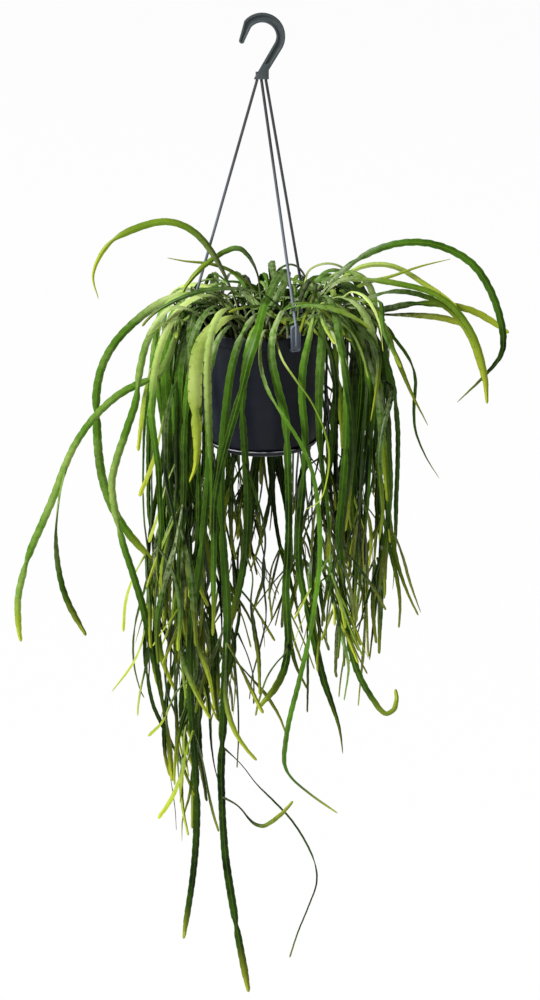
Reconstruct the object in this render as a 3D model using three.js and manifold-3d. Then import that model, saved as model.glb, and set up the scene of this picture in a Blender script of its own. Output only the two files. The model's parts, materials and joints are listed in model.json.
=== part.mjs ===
// A hanging nursery pot with a trailing flat-stemmed cactus, in millimetres, +Z up.
// The origin is the seat of the hook, the point that rests on whatever holds the pot up.
// +X is to the viewer's right and -Y is towards the viewer.
import * as THREE from 'three';
import { mergeVertices } from 'three/addons/utils/BufferGeometryUtils.js';
import Module from 'manifold-3d';

const wasm = await Module();
wasm.setup();

// Driving dimensions of the holder
const RIM_RADIUS = 75;
const RIM_TOP = -329;
const RIM_BAND_HEIGHT = 12;
const RIM_BAND_WALL = 2;
const WALL = 1.8;
const SHOULDER_RADIUS = 70.8;
const WAIST_RADIUS = 66.6;
const NECK_RADIUS = 55.5;
const FLANGE_RADIUS = 58.2;
const POT_BOTTOM = -465.2;
const SAUCER_BOTTOM = -467;
const SAUCER_RADIUS = 63.2;
const SAUCER_TOP = -454.8;
const ROUND_SIDES = 30;
const SEAT_GAP = 0.3;
const SOIL_TOP = -343.5;
const DRAIN_HOLE_RADIUS = 3.5;
const DRAIN_RING_RADIUS = 38;
const DRAIN_HOLES = 6;

// Driving dimensions of the hanger
const HOOK_INNER_RADIUS = 15.25;
const HOOK_OUTER_RADIUS = 24.7;
const HOOK_DEPTH = 7;
const HOOK_RECESS = 1.4;
const HOOK_BORDER = 2;
const YOKE_BOTTOM = -60.5;
const SOCKET_RADIUS = 1.95;
const SOCKET_DEPTH = 8;
const SOCKET_PITCH = 4.8;
const ROD_RADIUS = 1.6;
const ROD_SIDES = 6;
const PADDLE_WIDTH = 12;
const PADDLE_HEIGHT = 29;
const PADDLE_THICKNESS = 3;

// Driving dimensions of the plant
const STALK_HALF_WIDTH = 2.2;
const STALK_THICKNESS = 3.4;
const STALK_LENGTH = 26;
const STALK_HOLE_RADIUS = 3.3;
const STALK_DEPTH = 12;
const STEM_THICKNESS = 2.6;
const NOTCH = 0.13;
const LEAST_STEP = 11;
const MOST_STEP = 31;
const BEND_ALLOWANCE = 8;
const BLUNT_END = 12;
const POINTED_END = 95;
const TIP_SHARE = 0.4;
const BRANCH_START_HALF_WIDTH = 1.9;
const STALK_WIDENING = 90;
const BRANCH_WIDENING = 60;
const ROOT_NODE_RISE = 5;
const STEM_GAP = 0.7;
const FACING_TURN = 1.35;

const root = new THREE.Group();

function finish(colour, roughness) {
  return new THREE.MeshStandardMaterial({ color: colour, roughness, metalness: 0 });
}

const holderPlastic = finish(0x1b2228, 0.45);
const saucerPlastic = finish(0x20262b, 0.5);
const hookPlastic = finish(0x44494b, 0.5);
const rodPlastic = finish(0x3b393c, 0.4);
const compost = finish(0x2c2118, 0.95);
const matureStem = finish(0x4f7a2a, 0.6);
const youngStem = finish(0xa9bd2f, 0.55);

// Solids for cutting and joining, and back to a mesh's geometry
function solidOf(geometry) {
  const bare = geometry.clone();
  bare.deleteAttribute('normal');
  bare.deleteAttribute('uv');
  const merged = mergeVertices(bare, 1e-4);
  const corners = merged.index.array;
  const kept = [];
  for (let i = 0; i < corners.length; i += 3) {
    const [a, b, c] = [corners[i], corners[i + 1], corners[i + 2]];
    if (a !== b && b !== c && c !== a) {
      kept.push(a, b, c);
    }
  }
  return new wasm.Manifold(new wasm.Mesh({
    numProp: 3,
    vertProperties: Float32Array.from(merged.attributes.position.array),
    triVerts: Uint32Array.from(kept),
  }));
}

function geometryOf(solid) {
  const mesh = solid.getMesh();
  const geometry = new THREE.BufferGeometry();
  geometry.setAttribute('position', new THREE.BufferAttribute(Float32Array.from(mesh.vertProperties), 3));
  geometry.setIndex(new THREE.BufferAttribute(Uint32Array.from(mesh.triVerts), 1));
  geometry.computeVertexNormals();
  return geometry;
}

function addPiece(name, solid, material) {
  const piece = new THREE.Mesh(geometryOf(solid), material);
  piece.name = name;
  root.add(piece);
}

// A profile of [radius, height] points turned round the pot's axis
function turned(profile) {
  const points = profile.map(([radius, height]) => new THREE.Vector2(radius, height));
  const geometry = new THREE.LatheGeometry(points, ROUND_SIDES);
  geometry.rotateX(Math.PI / 2);
  return solidOf(geometry);
}

function uprightCylinder(radius, bottom, top, sides, x, y) {
  const geometry = new THREE.CylinderGeometry(radius, radius, top - bottom, sides);
  geometry.rotateX(Math.PI / 2);
  geometry.translate(x, y, (bottom + top) / 2);
  return solidOf(geometry);
}

// Pot: thin wall, rim band, rounded shoulder at the foot, and a flange that the saucer snaps onto
const SHOULDER_TOP = POT_BOTTOM + 30;
const BAND_BOTTOM = RIM_TOP - RIM_BAND_HEIGHT;
const FLOOR_TOP = POT_BOTTOM + 2;

const potOutside = [
  [0, POT_BOTTOM],
  [FLANGE_RADIUS, POT_BOTTOM],
  [FLANGE_RADIUS, POT_BOTTOM + 4.2],
  [NECK_RADIUS, POT_BOTTOM + 5.2],
  [NECK_RADIUS, POT_BOTTOM + 8.2],
  [59.5, POT_BOTTOM + 12.5],
  [64.6, POT_BOTTOM + 20],
  [WAIST_RADIUS, SHOULDER_TOP],
  [SHOULDER_RADIUS, BAND_BOTTOM - 0.6],
  [RIM_RADIUS - 0.5, BAND_BOTTOM],
  [RIM_RADIUS, RIM_TOP - 0.8],
  [RIM_RADIUS - 0.8, RIM_TOP],
];
const potInside = [
  [RIM_RADIUS - RIM_BAND_WALL, RIM_TOP],
  [RIM_RADIUS - RIM_BAND_WALL, BAND_BOTTOM],
  [SHOULDER_RADIUS - WALL, BAND_BOTTOM - 3],
  [WAIST_RADIUS - WALL, SHOULDER_TOP],
  [60, POT_BOTTOM + 17],
  [NECK_RADIUS - 2, POT_BOTTOM + 8],
  [NECK_RADIUS - 2, FLOOR_TOP],
  [0, FLOOR_TOP],
];

let pot = turned([...potOutside, ...potInside]);
for (let i = 0; i < DRAIN_HOLES; i += 1) {
  const turn = (2 * Math.PI * i) / DRAIN_HOLES;
  const x = DRAIN_RING_RADIUS * Math.cos(turn);
  const y = DRAIN_RING_RADIUS * Math.sin(turn);
  pot = pot.subtract(uprightCylinder(DRAIN_HOLE_RADIUS, POT_BOTTOM - 1, FLOOR_TOP + 1, 8, x, y));
}
addPiece('pot', pot, holderPlastic);

// Saucer: a drip tray whose inner bead snaps over the pot's flange
const SAUCER_FLOOR = POT_BOTTOM - SEAT_GAP;
addPiece('saucer', turned([
  [0, SAUCER_BOTTOM],
  [57.5, SAUCER_BOTTOM],
  [60.8, SAUCER_BOTTOM + 2.4],
  [SAUCER_RADIUS - 1, SAUCER_TOP - 2],
  [SAUCER_RADIUS, SAUCER_TOP - 1.4],
  [SAUCER_RADIUS, SAUCER_TOP],
  [SAUCER_RADIUS - 1.8, SAUCER_TOP],
  [59.6, SAUCER_TOP - 2.4],
  [NECK_RADIUS + 0.7, SAUCER_TOP - 3.6],
  [NECK_RADIUS + 0.7, SAUCER_TOP - 4.8],
  [FLANGE_RADIUS + 0.4, POT_BOTTOM + 4.5],
  [FLANGE_RADIUS + 0.4, SAUCER_FLOOR],
  [0, SAUCER_FLOOR],
]), saucerPlastic);

// Hook: a question mark with hollowed faces, and a yoke with a socket for each rod
const YOKE_LEFT = -8.6;
const YOKE_RIGHT = 7.3;
const YOKE_SHOULDER = -50.5;
const HOOK_CENTRE_Z = -HOOK_INNER_RADIUS;
const ARM_ANGLE = THREE.MathUtils.degToRad(140);
const SHANK_ANGLE = THREE.MathUtils.degToRad(-32);
const TIP = new THREE.Vector2(-21.5, -19.5);
const TIP_RADIUS = 3;

function extrudedAcrossHook(shape, depth, nearY) {
  const geometry = new THREE.ExtrudeGeometry(shape, { depth, bevelEnabled: false, curveSegments: 5 });
  geometry.rotateX(Math.PI / 2);
  geometry.translate(0, nearY + depth, 0);
  return solidOf(geometry);
}

const hookShape = new THREE.Shape();
hookShape.absarc(0, HOOK_CENTRE_Z, HOOK_OUTER_RADIUS, ARM_ANGLE, SHANK_ANGLE, true);
hookShape.lineTo(YOKE_RIGHT, YOKE_SHOULDER);
hookShape.lineTo(YOKE_RIGHT, YOKE_BOTTOM);
hookShape.lineTo(YOKE_LEFT, YOKE_BOTTOM);
hookShape.absarc(0, HOOK_CENTRE_Z, HOOK_INNER_RADIUS, SHANK_ANGLE, ARM_ANGLE, false);
hookShape.absarc(TIP.x, TIP.y, TIP_RADIUS, 0, Math.PI, true);

const RECESS_FOOT = -46;
const recessShape = new THREE.Shape();
recessShape.absarc(0, HOOK_CENTRE_Z, HOOK_OUTER_RADIUS - HOOK_BORDER, ARM_ANGLE, SHANK_ANGLE, true);
recessShape.lineTo(YOKE_RIGHT + 0.4, RECESS_FOOT);
recessShape.lineTo(YOKE_RIGHT - 5.6, RECESS_FOOT);
recessShape.absarc(0, HOOK_CENTRE_Z, HOOK_INNER_RADIUS + HOOK_BORDER, SHANK_ANGLE, ARM_ANGLE, false);

const socketCentre = (YOKE_LEFT + YOKE_RIGHT) / 2;
const socketPlaces = [-1, 0, 1].map((step) => socketCentre + step * SOCKET_PITCH);

let hook = extrudedAcrossHook(hookShape, HOOK_DEPTH, -HOOK_DEPTH / 2);
hook = hook.subtract(extrudedAcrossHook(recessShape, 2, -HOOK_DEPTH / 2 - 2 + HOOK_RECESS));
hook = hook.subtract(extrudedAcrossHook(recessShape, 2, HOOK_DEPTH / 2 - HOOK_RECESS));
for (const x of socketPlaces) {
  const socketTop = YOKE_BOTTOM + SOCKET_DEPTH;
  hook = hook.subtract(uprightCylinder(SOCKET_RADIUS, YOKE_BOTTOM - 1, socketTop, 8, x, 0));
}
addPiece('hook', hook, hookPlastic);

// Hangers: each is one moulding of a rod, its paddle and the clip that snaps over the rim
const PADDLE_INSIDE = RIM_RADIUS + SEAT_GAP;
const PADDLE_OUTSIDE = PADDLE_INSIDE + PADDLE_THICKNESS;
const PADDLE_TOP = RIM_TOP + 14.2;
const PADDLE_BOTTOM = PADDLE_TOP - PADDLE_HEIGHT;
const FINGER_INSIDE = 70.3;
const FINGER_THICKNESS = 1.6;
const FINGER_DROP = 4.5;
const ROD_BEND = YOKE_BOTTOM - 1.6;

function boxBetween(low, high) {
  const size = high.map((value, i) => value - low[i]);
  const geometry = new THREE.BoxGeometry(...size);
  geometry.translate(...low.map((value, i) => value + size[i] / 2));
  return solidOf(geometry);
}

function rodBetween(start, end, radius) {
  const along = end.clone().sub(start);
  const geometry = new THREE.CylinderGeometry(radius, radius, along.length(), ROD_SIDES);
  const ownAxis = new THREE.Vector3(0, 1, 0);
  geometry.applyQuaternion(new THREE.Quaternion().setFromUnitVectors(ownAxis, along.clone().normalize()));
  geometry.translate(...start.clone().add(end).multiplyScalar(0.5).toArray());
  return solidOf(geometry);
}

function ball(centre, radius) {
  const geometry = new THREE.SphereGeometry(radius, ROD_SIDES, 4);
  geometry.translate(...centre.toArray());
  return solidOf(geometry);
}

// The clip faces +X here and is turned to its place on the rim afterwards
function rimClip() {
  const halfWidth = PADDLE_WIDTH / 2;
  const corner = 4;
  const outline = new THREE.Shape();
  outline.moveTo(-halfWidth + 0.8, PADDLE_BOTTOM);
  outline.lineTo(halfWidth - 0.8, PADDLE_BOTTOM);
  outline.lineTo(halfWidth, PADDLE_TOP - corner);
  outline.absarc(halfWidth - corner, PADDLE_TOP - corner, corner, 0, Math.PI / 2, false);
  outline.absarc(-halfWidth + corner, PADDLE_TOP - corner, corner, Math.PI / 2, Math.PI, false);
  const plate = new THREE.ExtrudeGeometry(outline, {
    depth: PADDLE_THICKNESS, bevelEnabled: false, curveSegments: 2,
  });
  const across = new THREE.Vector3(0, 1, 0);
  const upwards = new THREE.Vector3(0, 0, 1);
  const outwards = new THREE.Vector3(1, 0, 0);
  plate.applyMatrix4(new THREE.Matrix4().makeBasis(across, upwards, outwards));
  plate.translate(PADDLE_INSIDE, 0, 0);
  const overRim = RIM_TOP + SEAT_GAP;
  const grip = halfWidth - 1;
  const toeTop = BAND_BOTTOM - SEAT_GAP;
  return solidOf(plate)
    .add(boxBetween([FINGER_INSIDE, -grip, overRim], [PADDLE_INSIDE + 1, grip, overRim + 1.8]))
    .add(boxBetween(
      [FINGER_INSIDE, -grip, RIM_TOP - FINGER_DROP],
      [FINGER_INSIDE + FINGER_THICKNESS, grip, overRim + 1],
    ))
    .add(boxBetween([SHOULDER_RADIUS + 1.4, -grip, toeTop - 1.8], [PADDLE_INSIDE + 1, grip, toeTop]));
}

const hangers = [
  { name: 'hanger_left', socket: socketPlaces[0], azimuth: -92 },
  { name: 'hanger_front', socket: socketPlaces[1], azimuth: 28 },
  { name: 'hanger_back', socket: socketPlaces[2], azimuth: 144 },
];

// Azimuth is counted in degrees from the front, -Y, towards the right, +X
function outward(azimuth) {
  const turn = THREE.MathUtils.degToRad(azimuth - 90);
  return new THREE.Vector3(Math.cos(turn), Math.sin(turn), 0);
}

for (const hanger of hangers) {
  const out = outward(hanger.azimuth);
  const bend = new THREE.Vector3(hanger.socket, 0, ROD_BEND);
  const pinTop = new THREE.Vector3(hanger.socket, 0, YOKE_BOTTOM + SOCKET_DEPTH - 0.5);
  const foot = out.clone().multiplyScalar(PADDLE_OUTSIDE - 0.4).setZ(PADDLE_TOP - 1);
  const ribEnd = foot.clone().setZ(PADDLE_TOP - 21);
  hanger.bend = bend;
  hanger.foot = foot;
  const turn = THREE.MathUtils.radToDeg(Math.atan2(out.y, out.x));
  const solid = rimClip().rotate([0, 0, turn])
    .add(rodBetween(foot, ribEnd, ROD_RADIUS))
    .add(rodBetween(bend, foot, ROD_RADIUS))
    .add(ball(bend, ROD_RADIUS))
    .add(rodBetween(bend, pinTop, ROD_RADIUS));
  addPiece(hanger.name, solid, rodPlastic);
}

// Stems that can be told apart in the photograph, as hand-set points from the soil to the tip.
// half is the half width of the flat stem, and ending says how the tip closes.
const namedStems = [
  {
    name: 'stem_upper_left', half: 4.2, ending: 'pointed', young: true,
    points: [[-21, 0, -345], [-25, 0, -325], [-34, -4, -292], [-55, -8, -248], [-76, -12, -223],
      [-102, -15, -212], [-136, -20, -219], [-167, -24, -238], [-183, -26, -271], [-178, -27, -296]],
  },
  {
    name: 'stem_small_arch', half: 3.2, ending: 'blunt',
    points: [[6, 15, -344], [0, 15, -303], [-7, 12, -267], [-27, 8, -245], [-55, 2, -255],
      [-79, -4, -274], [-90, -8, -293]],
  },
  {
    name: 'stem_upper_shoot', half: 3.4, ending: 'pointed', young: true,
    points: [[0, 25, -341], [-5, 22, -310], [-14, 20, -294], [-44, 12, -270], [-83, 2, -261],
      [-105, -2, -256]],
  },
  {
    name: 'stem_left_long', half: 4.8, ending: 'blunt',
    points: [[-41, 10, -343], [-55, 5, -317], [-73, 2, -309], [-106, -5, -311], [-139, -12, -331],
      [-170, -18, -365], [-183, -22, -403], [-183, -24, -449], [-179, -26, -500], [-164, -28, -546],
      [-146, -29, -574], [-123, -30, -601]],
  },
  {
    name: 'stem_left_outer', half: 4.6, ending: 'blunt',
    points: [[-44, -20, -340], [-62, -24, -311], [-81, -32, -321], [-90, -38, -351], [-107, -40, -381],
      [-134, -41, -392], [-165, -42, -413], [-201, -42, -459], [-229, -41, -523], [-260, -40, -594],
      [-275, -40, -657], [-272, -40, -693]],
    branches: [{
      half: 4.4, ending: 'blunt',
      points: [[-215, -41, -490], [-224, -44, -527], [-227, -44, -569], [-225, -42, -605],
        [-215, -40, -648], [-198, -36, -687]],
    }],
  },
  {
    name: 'stem_left_inner', half: 5, ending: 'blunt',
    points: [[-55, -30, -339], [-76, -38, -308], [-100, -42, -302], [-117, -46, -319], [-132, -50, -356],
      [-138, -52, -403], [-152, -54, -442], [-167, -55, -492], [-164, -56, -527], [-145, -56, -600],
      [-131, -55, -660], [-114, -52, -757]],
  },
  {
    name: 'stem_right_arch', half: 4.6, ending: 'pointed',
    points: [[42, 10, -343], [55, 8, -312], [74, 5, -283], [103, 0, -258], [135, -5, -241],
      [167, -8, -236], [200, -10, -243], [231, -12, -263], [250, -13, -294], [262, -14, -332],
      [262, -14, -360], [245, -14, -385], [215, -13, -417]],
  },
  {
    name: 'stem_right_upper', half: 4.4, ending: 'blunt', young: true,
    points: [[55, -10, -342], [65, -10, -302], [85, -12, -280], [122, -15, -278], [157, -18, -283],
      [190, -20, -293], [216, -22, -314], [236, -24, -350], [246, -25, -382], [250, -25, -416]],
  },
  {
    name: 'stem_right_middle', half: 4.4, ending: 'blunt',
    points: [[62, 8, -341], [81, 6, -326], [110, 2, -314], [145, 0, -301], [180, -2, -303],
      [209, -4, -317], [231, -4, -344], [244, -3, -374], [250, -2, -401]],
  },
  {
    name: 'stem_right_reach', half: 4.4, ending: 'blunt',
    points: [[57, 28, -344], [80, 26, -332], [104, 24, -331], [131, 22, -328], [164, 18, -320],
      [208, 15, -320], [243, 12, -328], [281, 10, -351]],
    branches: [{
      half: 4.2, ending: 'blunt',
      points: [[115, 23, -331], [151, 28, -335], [191, 31, -337], [227, 31, -345], [244, 31, -356]],
    }],
  },
  {
    name: 'stem_right_shoot', half: 2.8, ending: 'pointed', young: true,
    points: [[42, 40, -338], [62, 34, -320], [84, 28, -309], [128, 20, -289], [180, 14, -266],
      [206, 12, -259]],
  },
  {
    name: 'stem_right_thin', half: 3.4, ending: 'blunt', young: true,
    points: [[51, 46, -339], [66, 42, -315], [86, 36, -293], [112, 28, -275], [141, 22, -274],
      [167, 16, -288], [194, 12, -304], [212, 10, -318]],
  },
  {
    name: 'stem_right_pale', half: 4, ending: 'pointed', young: true,
    points: [[63, -15, -343], [94, -18, -320], [120, -20, -317], [138, -24, -332], [146, -28, -351],
      [165, -32, -398], [180, -34, -432], [188, -34, -446]],
  },
  {
    name: 'stem_right_wiry', half: 2.2, ending: 'pointed',
    points: [[68, 15, -347], [93, 12, -328], [117, 8, -331], [139, 2, -350], [157, -2, -370],
      [170, -5, -392], [173, -6, -417], [171, -8, -452], [185, -10, -491], [201, -10, -517]],
  },
  {
    name: 'stem_front_longest', half: 4.9, ending: 'blunt',
    points: [[0, -10, -340], [0, -30, -312], [-11, -60, -311], [-24, -84, -329], [-33, -92, -360],
      [-40, -93, -419], [-44, -92, -490], [-41, -88, -576], [-38, -82, -650], [-42, -76, -724],
      [-45, -70, -801], [-46, -66, -878], [-45, -63, -936], [-35, -60, -1016], [-16, -58, -1130]],
    branches: [
      {
        half: 1.3, ending: 'root',
        points: [[-44, -70, -798], [-21, -64, -836], [-3, -60, -863], [32, -54, -904], [58, -48, -958],
          [62, -46, -990], [44, -42, -1049], [32, -40, -1094]],
      },
      {
        half: 3.2, ending: 'blunt',
        points: [[-46, -66, -871], [-30, -70, -880], [-3, -72, -907], [20, -73, -894], [36, -74, -875]],
      },
    ],
  },
  {
    name: 'stem_front_bright', half: 6.6, ending: 'pointed', young: true,
    points: [[-5, -25, -338], [-24, -44, -312], [-48, -64, -312], [-68, -80, -329], [-76, -87, -350],
      [-78, -91, -391], [-75, -92, -436], [-78, -92, -465], [-85, -92, -483]],
  },
  {
    name: 'stem_front_left_long', half: 5, ending: 'blunt',
    points: [[-18, -35, -340], [-33, -60, -316], [-48, -82, -328], [-57, -94, -368], [-57, -96, -432],
      [-61, -94, -504], [-69, -88, -576], [-78, -82, -650], [-81, -76, -737], [-77, -72, -812],
      [-75, -70, -888], [-80, -68, -966], [-92, -66, -1056]],
  },
  {
    name: 'stem_front_middle', half: 4.6, ending: 'blunt',
    points: [[8, -35, -341], [-4, -62, -315], [-13, -82, -324], [-17, -86, -346], [-22, -88, -387],
      [-21, -88, -438], [-17, -85, -507], [-20, -82, -579], [-29, -80, -627], [-41, -78, -675]],
  },
  {
    name: 'stem_front_slanted', half: 4.8, ending: 'blunt',
    points: [[15, -48, -343], [3, -68, -320], [-1, -86, -334], [4, -92, -369], [27, -96, -410],
      [49, -98, -448], [60, -97, -488], [65, -90, -576], [55, -84, -655], [42, -80, -723],
      [28, -78, -791], [27, -77, -832], [48, -76, -858], [86, -76, -889]],
  },
  {
    name: 'stem_front_crossing', half: 4.2, ending: 'pointed', young: true,
    points: [[26, -52, -344], [11, -74, -323], [19, -92, -348], [46, -104, -382], [64, -108, -421],
      [69, -108, -448], [64, -107, -485], [55, -106, -505], [43, -106, -511]],
  },
  {
    name: 'stem_front_right_inner', half: 4.8, ending: 'blunt',
    points: [[30, -35, -340], [26, -56, -301], [18, -80, -314], [15, -87, -339], [20, -88, -371],
      [28, -88, -404], [32, -84, -473], [33, -80, -556], [29, -76, -628], [32, -74, -677],
      [23, -72, -726], [-1, -70, -762]],
  },
  {
    name: 'stem_front_right_pale', half: 4.4, ending: 'pointed',
    points: [[48, -45, -340], [56, -62, -306], [51, -84, -321], [43, -89, -358], [42, -90, -399],
      [46, -90, -437], [44, -88, -483], [39, -84, -543], [39, -82, -590], [51, -80, -656],
      [67, -78, -724], [84, -76, -781], [89, -76, -817]],
  },
  {
    name: 'stem_front_right_outer', half: 4.6, ending: 'blunt',
    points: [[57, -28, -342], [69, -54, -315], [81, -72, -332], [89, -77, -362], [91, -78, -418],
      [88, -78, -487], [83, -76, -557], [89, -75, -629], [100, -74, -695], [117, -72, -738],
      [142, -70, -769], [150, -70, -754], [149, -70, -738]],
  },
];

// The other sprays fill the sides and the back of the crown by rule
const SPRAY_COUNT = 27;
const SPRAY_FIRST_AZIMUTH = 46;
const SPRAY_AZIMUTH_SPAN = 268;
const SPRAY_LAYERS = [
  { rootRadius: 53, hangRadius: 88, lift: 74, rise: 12, trail: 1.05 },
  { rootRadius: 36, hangRadius: 104, lift: 66, rise: 9, trail: 1 },
  { rootRadius: 17, hangRadius: 122, lift: 58, rise: 6, trail: 0.8 },
];
const RIGHT_WIDENING = 0.1;
const LEFT_WIDENING = -0.04;
const SWAY_STRETCH = 70;
const ROUTE_STEP = 4;
const PITCH_FALL = 1.5;

let seed = 90417;
function random() {
  seed = (seed * 16807) % 2147483647;
  return seed / 2147483647;
}

function between(low, high) {
  return low + (high - low) * random();
}

// Pitch in radians after a stretch of the route, from the starting lift towards straight down
function pitchAfter(lift, share) {
  return -Math.PI / 2 + (lift + Math.PI / 2) * Math.exp(-(share ** PITCH_FALL));
}

// A stem that leaves start at the pitch lift, keeps it for its rise, and ends up hanging reach away
function pendantRoute(start, azimuth, { lift, rise, reach, length, sway, phase }) {
  const liftAngle = THREE.MathUtils.degToRad(lift);
  let unitReach = 0;
  for (let share = 0.01; share < 4; share += 0.02) {
    unitReach += 0.02 * Math.cos(pitchAfter(liftAngle, share));
  }
  const fallLength = reach / unitReach;
  const out = outward(azimuth);
  const aside = new THREE.Vector3(-out.y, out.x, 0);
  const route = [start.clone()];
  const here = start.clone();
  for (let run = ROUTE_STEP / 2; run < length; run += ROUTE_STEP) {
    const pitch = pitchAfter(liftAngle, Math.max(0, run - rise) / fallLength);
    here.addScaledVector(out, ROUTE_STEP * Math.cos(pitch));
    here.z += ROUTE_STEP * Math.sin(pitch);
    const swing = sway * (run / 300) * Math.sin(run / SWAY_STRETCH + phase);
    route.push(here.clone().addScaledVector(aside, swing).addScaledVector(out, 0.4 * swing));
  }
  return route;
}

// Distances along a route at which its sections stand: closer together where it bends
function sectionDistances(route, first, endStretch) {
  const length = routeLength(route);
  const distances = [first];
  let run = 0;
  let turn = 0;
  for (let i = 1; i + 1 < route.length; i += 1) {
    const arriving = route[i].clone().sub(route[i - 1]);
    run += arriving.length();
    turn += run > first ? arriving.angleTo(route[i + 1].clone().sub(route[i])) : 0;
    const span = run - distances.at(-1);
    if (span > MOST_STEP || (span > LEAST_STEP && span * turn > BEND_ALLOWANCE)) {
      distances.push(run);
      turn = 0;
    }
  }
  while (distances.length > 1 && length - endStretch - distances.at(-1) < LEAST_STEP) {
    distances.pop();
  }
  if (endStretch > 0) {
    distances.push(length - endStretch);
  }
  distances.push(length);
  return distances;
}

function pointsAlong(route, distances) {
  const runs = [0];
  for (let i = 1; i < route.length; i += 1) {
    runs.push(runs[i - 1] + route[i].distanceTo(route[i - 1]));
  }
  let span = 1;
  return distances.map((distance) => {
    while (span < runs.length - 1 && runs[span] < distance) {
      span += 1;
    }
    const share = (distance - runs[span - 1]) / (runs[span] - runs[span - 1]);
    return route[span - 1].clone().lerp(route[span], THREE.MathUtils.clamp(share, 0, 1));
  });
}

function routeLength(route) {
  return route.slice(1).reduce((sum, point, i) => sum + point.distanceTo(route[i]), 0);
}

function halfWidthAt(stem, distance) {
  const start = stem.parent ? Math.min(BRANCH_START_HALF_WIDTH, stem.half) : STALK_HALF_WIDTH;
  const widenFrom = stem.parent ? 0 : STALK_LENGTH;
  const widening = stem.parent ? BRANCH_WIDENING : STALK_WIDENING;
  const spread = THREE.MathUtils.smoothstep(distance, widenFrom, widenFrom + widening);
  const taper = stem.ending === 'pointed' ? POINTED_END : BLUNT_END;
  const closing = Math.min(1, Math.max(0, stem.length - distance) / taper);
  const tipShare = stem.ending === 'root' ? 1 : TIP_SHARE;
  return (start + (stem.half - start) * spread) * (tipShare + (1 - tipShare) * closing);
}

const stems = [];

// A stem with its nodes: a rooted one starts in its hole, a branch at a node of its parent
function addStem(spray, options, route, parent) {
  const stem = { ...options, spray, parent, length: routeLength(route) };
  const firstNode = parent ? 0 : ROOT_NODE_RISE;
  const endStretch = stem.named && stem.ending === 'blunt' ? BLUNT_END : 0;
  const distances = sectionDistances(route, firstNode, endStretch);
  stem.nodes = pointsAlong(route, distances);
  if (!parent) {
    stem.nodes[0] = route[0].clone().setZ(route[0].z + firstNode);
    stem.nodes.unshift(route[0].clone().setZ(route[0].z - STALK_DEPTH));
    distances.unshift(-STALK_DEPTH);
  }
  stem.distances = distances;
  stem.halfWidths = distances.map((distance) => halfWidthAt(stem, distance));
  stem.shifts = stem.nodes.map(() => new THREE.Vector3());
  stems.push(stem);
  return stem;
}

function nearestNode(stem, place) {
  let best = 1;
  stem.nodes.forEach((node, i) => {
    if (i > 0 && i < stem.nodes.length - 1 && node.distanceTo(place) < stem.nodes[best].distanceTo(place)) {
      best = i;
    }
  });
  return best;
}

function smoothRoute(points) {
  const curve = new THREE.CatmullRomCurve3(points, false, 'centripetal');
  return curve.getPoints(12 * (points.length - 1));
}

// Roots of all the sprays, spread until they stand well apart in the soil
const roots = namedStems.map((stem) => new THREE.Vector2(stem.points[0][0], stem.points[0][1]));
const sprays = [];
for (let i = 0; i < SPRAY_COUNT; i += 1) {
  const layer = SPRAY_LAYERS[i % SPRAY_LAYERS.length];
  const azimuth = SPRAY_FIRST_AZIMUTH + SPRAY_AZIMUTH_SPAN * (i + 0.5) / SPRAY_COUNT + between(-6, 6);
  const out = outward(azimuth);
  const rootRadius = layer.rootRadius + between(-5, 5);
  sprays.push({ azimuth, layer });
  roots.push(new THREE.Vector2(out.x * rootRadius, out.y * rootRadius));
}
const ROOT_PITCH = 13;
const ROOT_LIMIT = 61;
for (let round = 0; round < 80; round += 1) {
  for (let i = 0; i < roots.length; i += 1) {
    for (let k = 0; k < i; k += 1) {
      const apart = roots[i].clone().sub(roots[k]);
      const lack = ROOT_PITCH - apart.length();
      if (lack > 0) {
        apart.setLength(lack * 0.25);
        roots[i].add(apart);
        roots[k].sub(apart);
      }
    }
  }
  roots.forEach((place) => place.clampLength(0, ROOT_LIMIT));
}

function rootPoint(place) {
  return new THREE.Vector3(place.x, place.y, SOIL_TOP);
}

namedStems.forEach((named, i) => {
  const points = named.points.map((point) => new THREE.Vector3(...point));
  points[0] = rootPoint(roots[i]);
  const mainOptions = { ...named, named: true, twist: between(-0.08, 0.08) };
  const main = addStem(named.name, mainOptions, smoothRoute(points), null);
  for (const branch of named.branches ?? []) {
    const branchPoints = branch.points.map((point) => new THREE.Vector3(...point));
    const parentNode = nearestNode(main, branchPoints[0]);
    branchPoints[0] = main.nodes[parentNode].clone();
    const options = { ...branch, named: true, parentNode, twist: between(-0.08, 0.08) };
    addStem(named.name, options, smoothRoute(branchPoints), main);
  }
});

function endingDraw() {
  return random() < 0.3 ? 'pointed' : 'blunt';
}

// How far down a pendant stem reaches: longest on the left, shortest on the right
function trailLength(azimuth) {
  const leftness = 0.5 - 0.5 * Math.sin(THREE.MathUtils.degToRad(azimuth));
  return 165 + 65 * leftness + (190 + 130 * leftness) * random();
}

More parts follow.
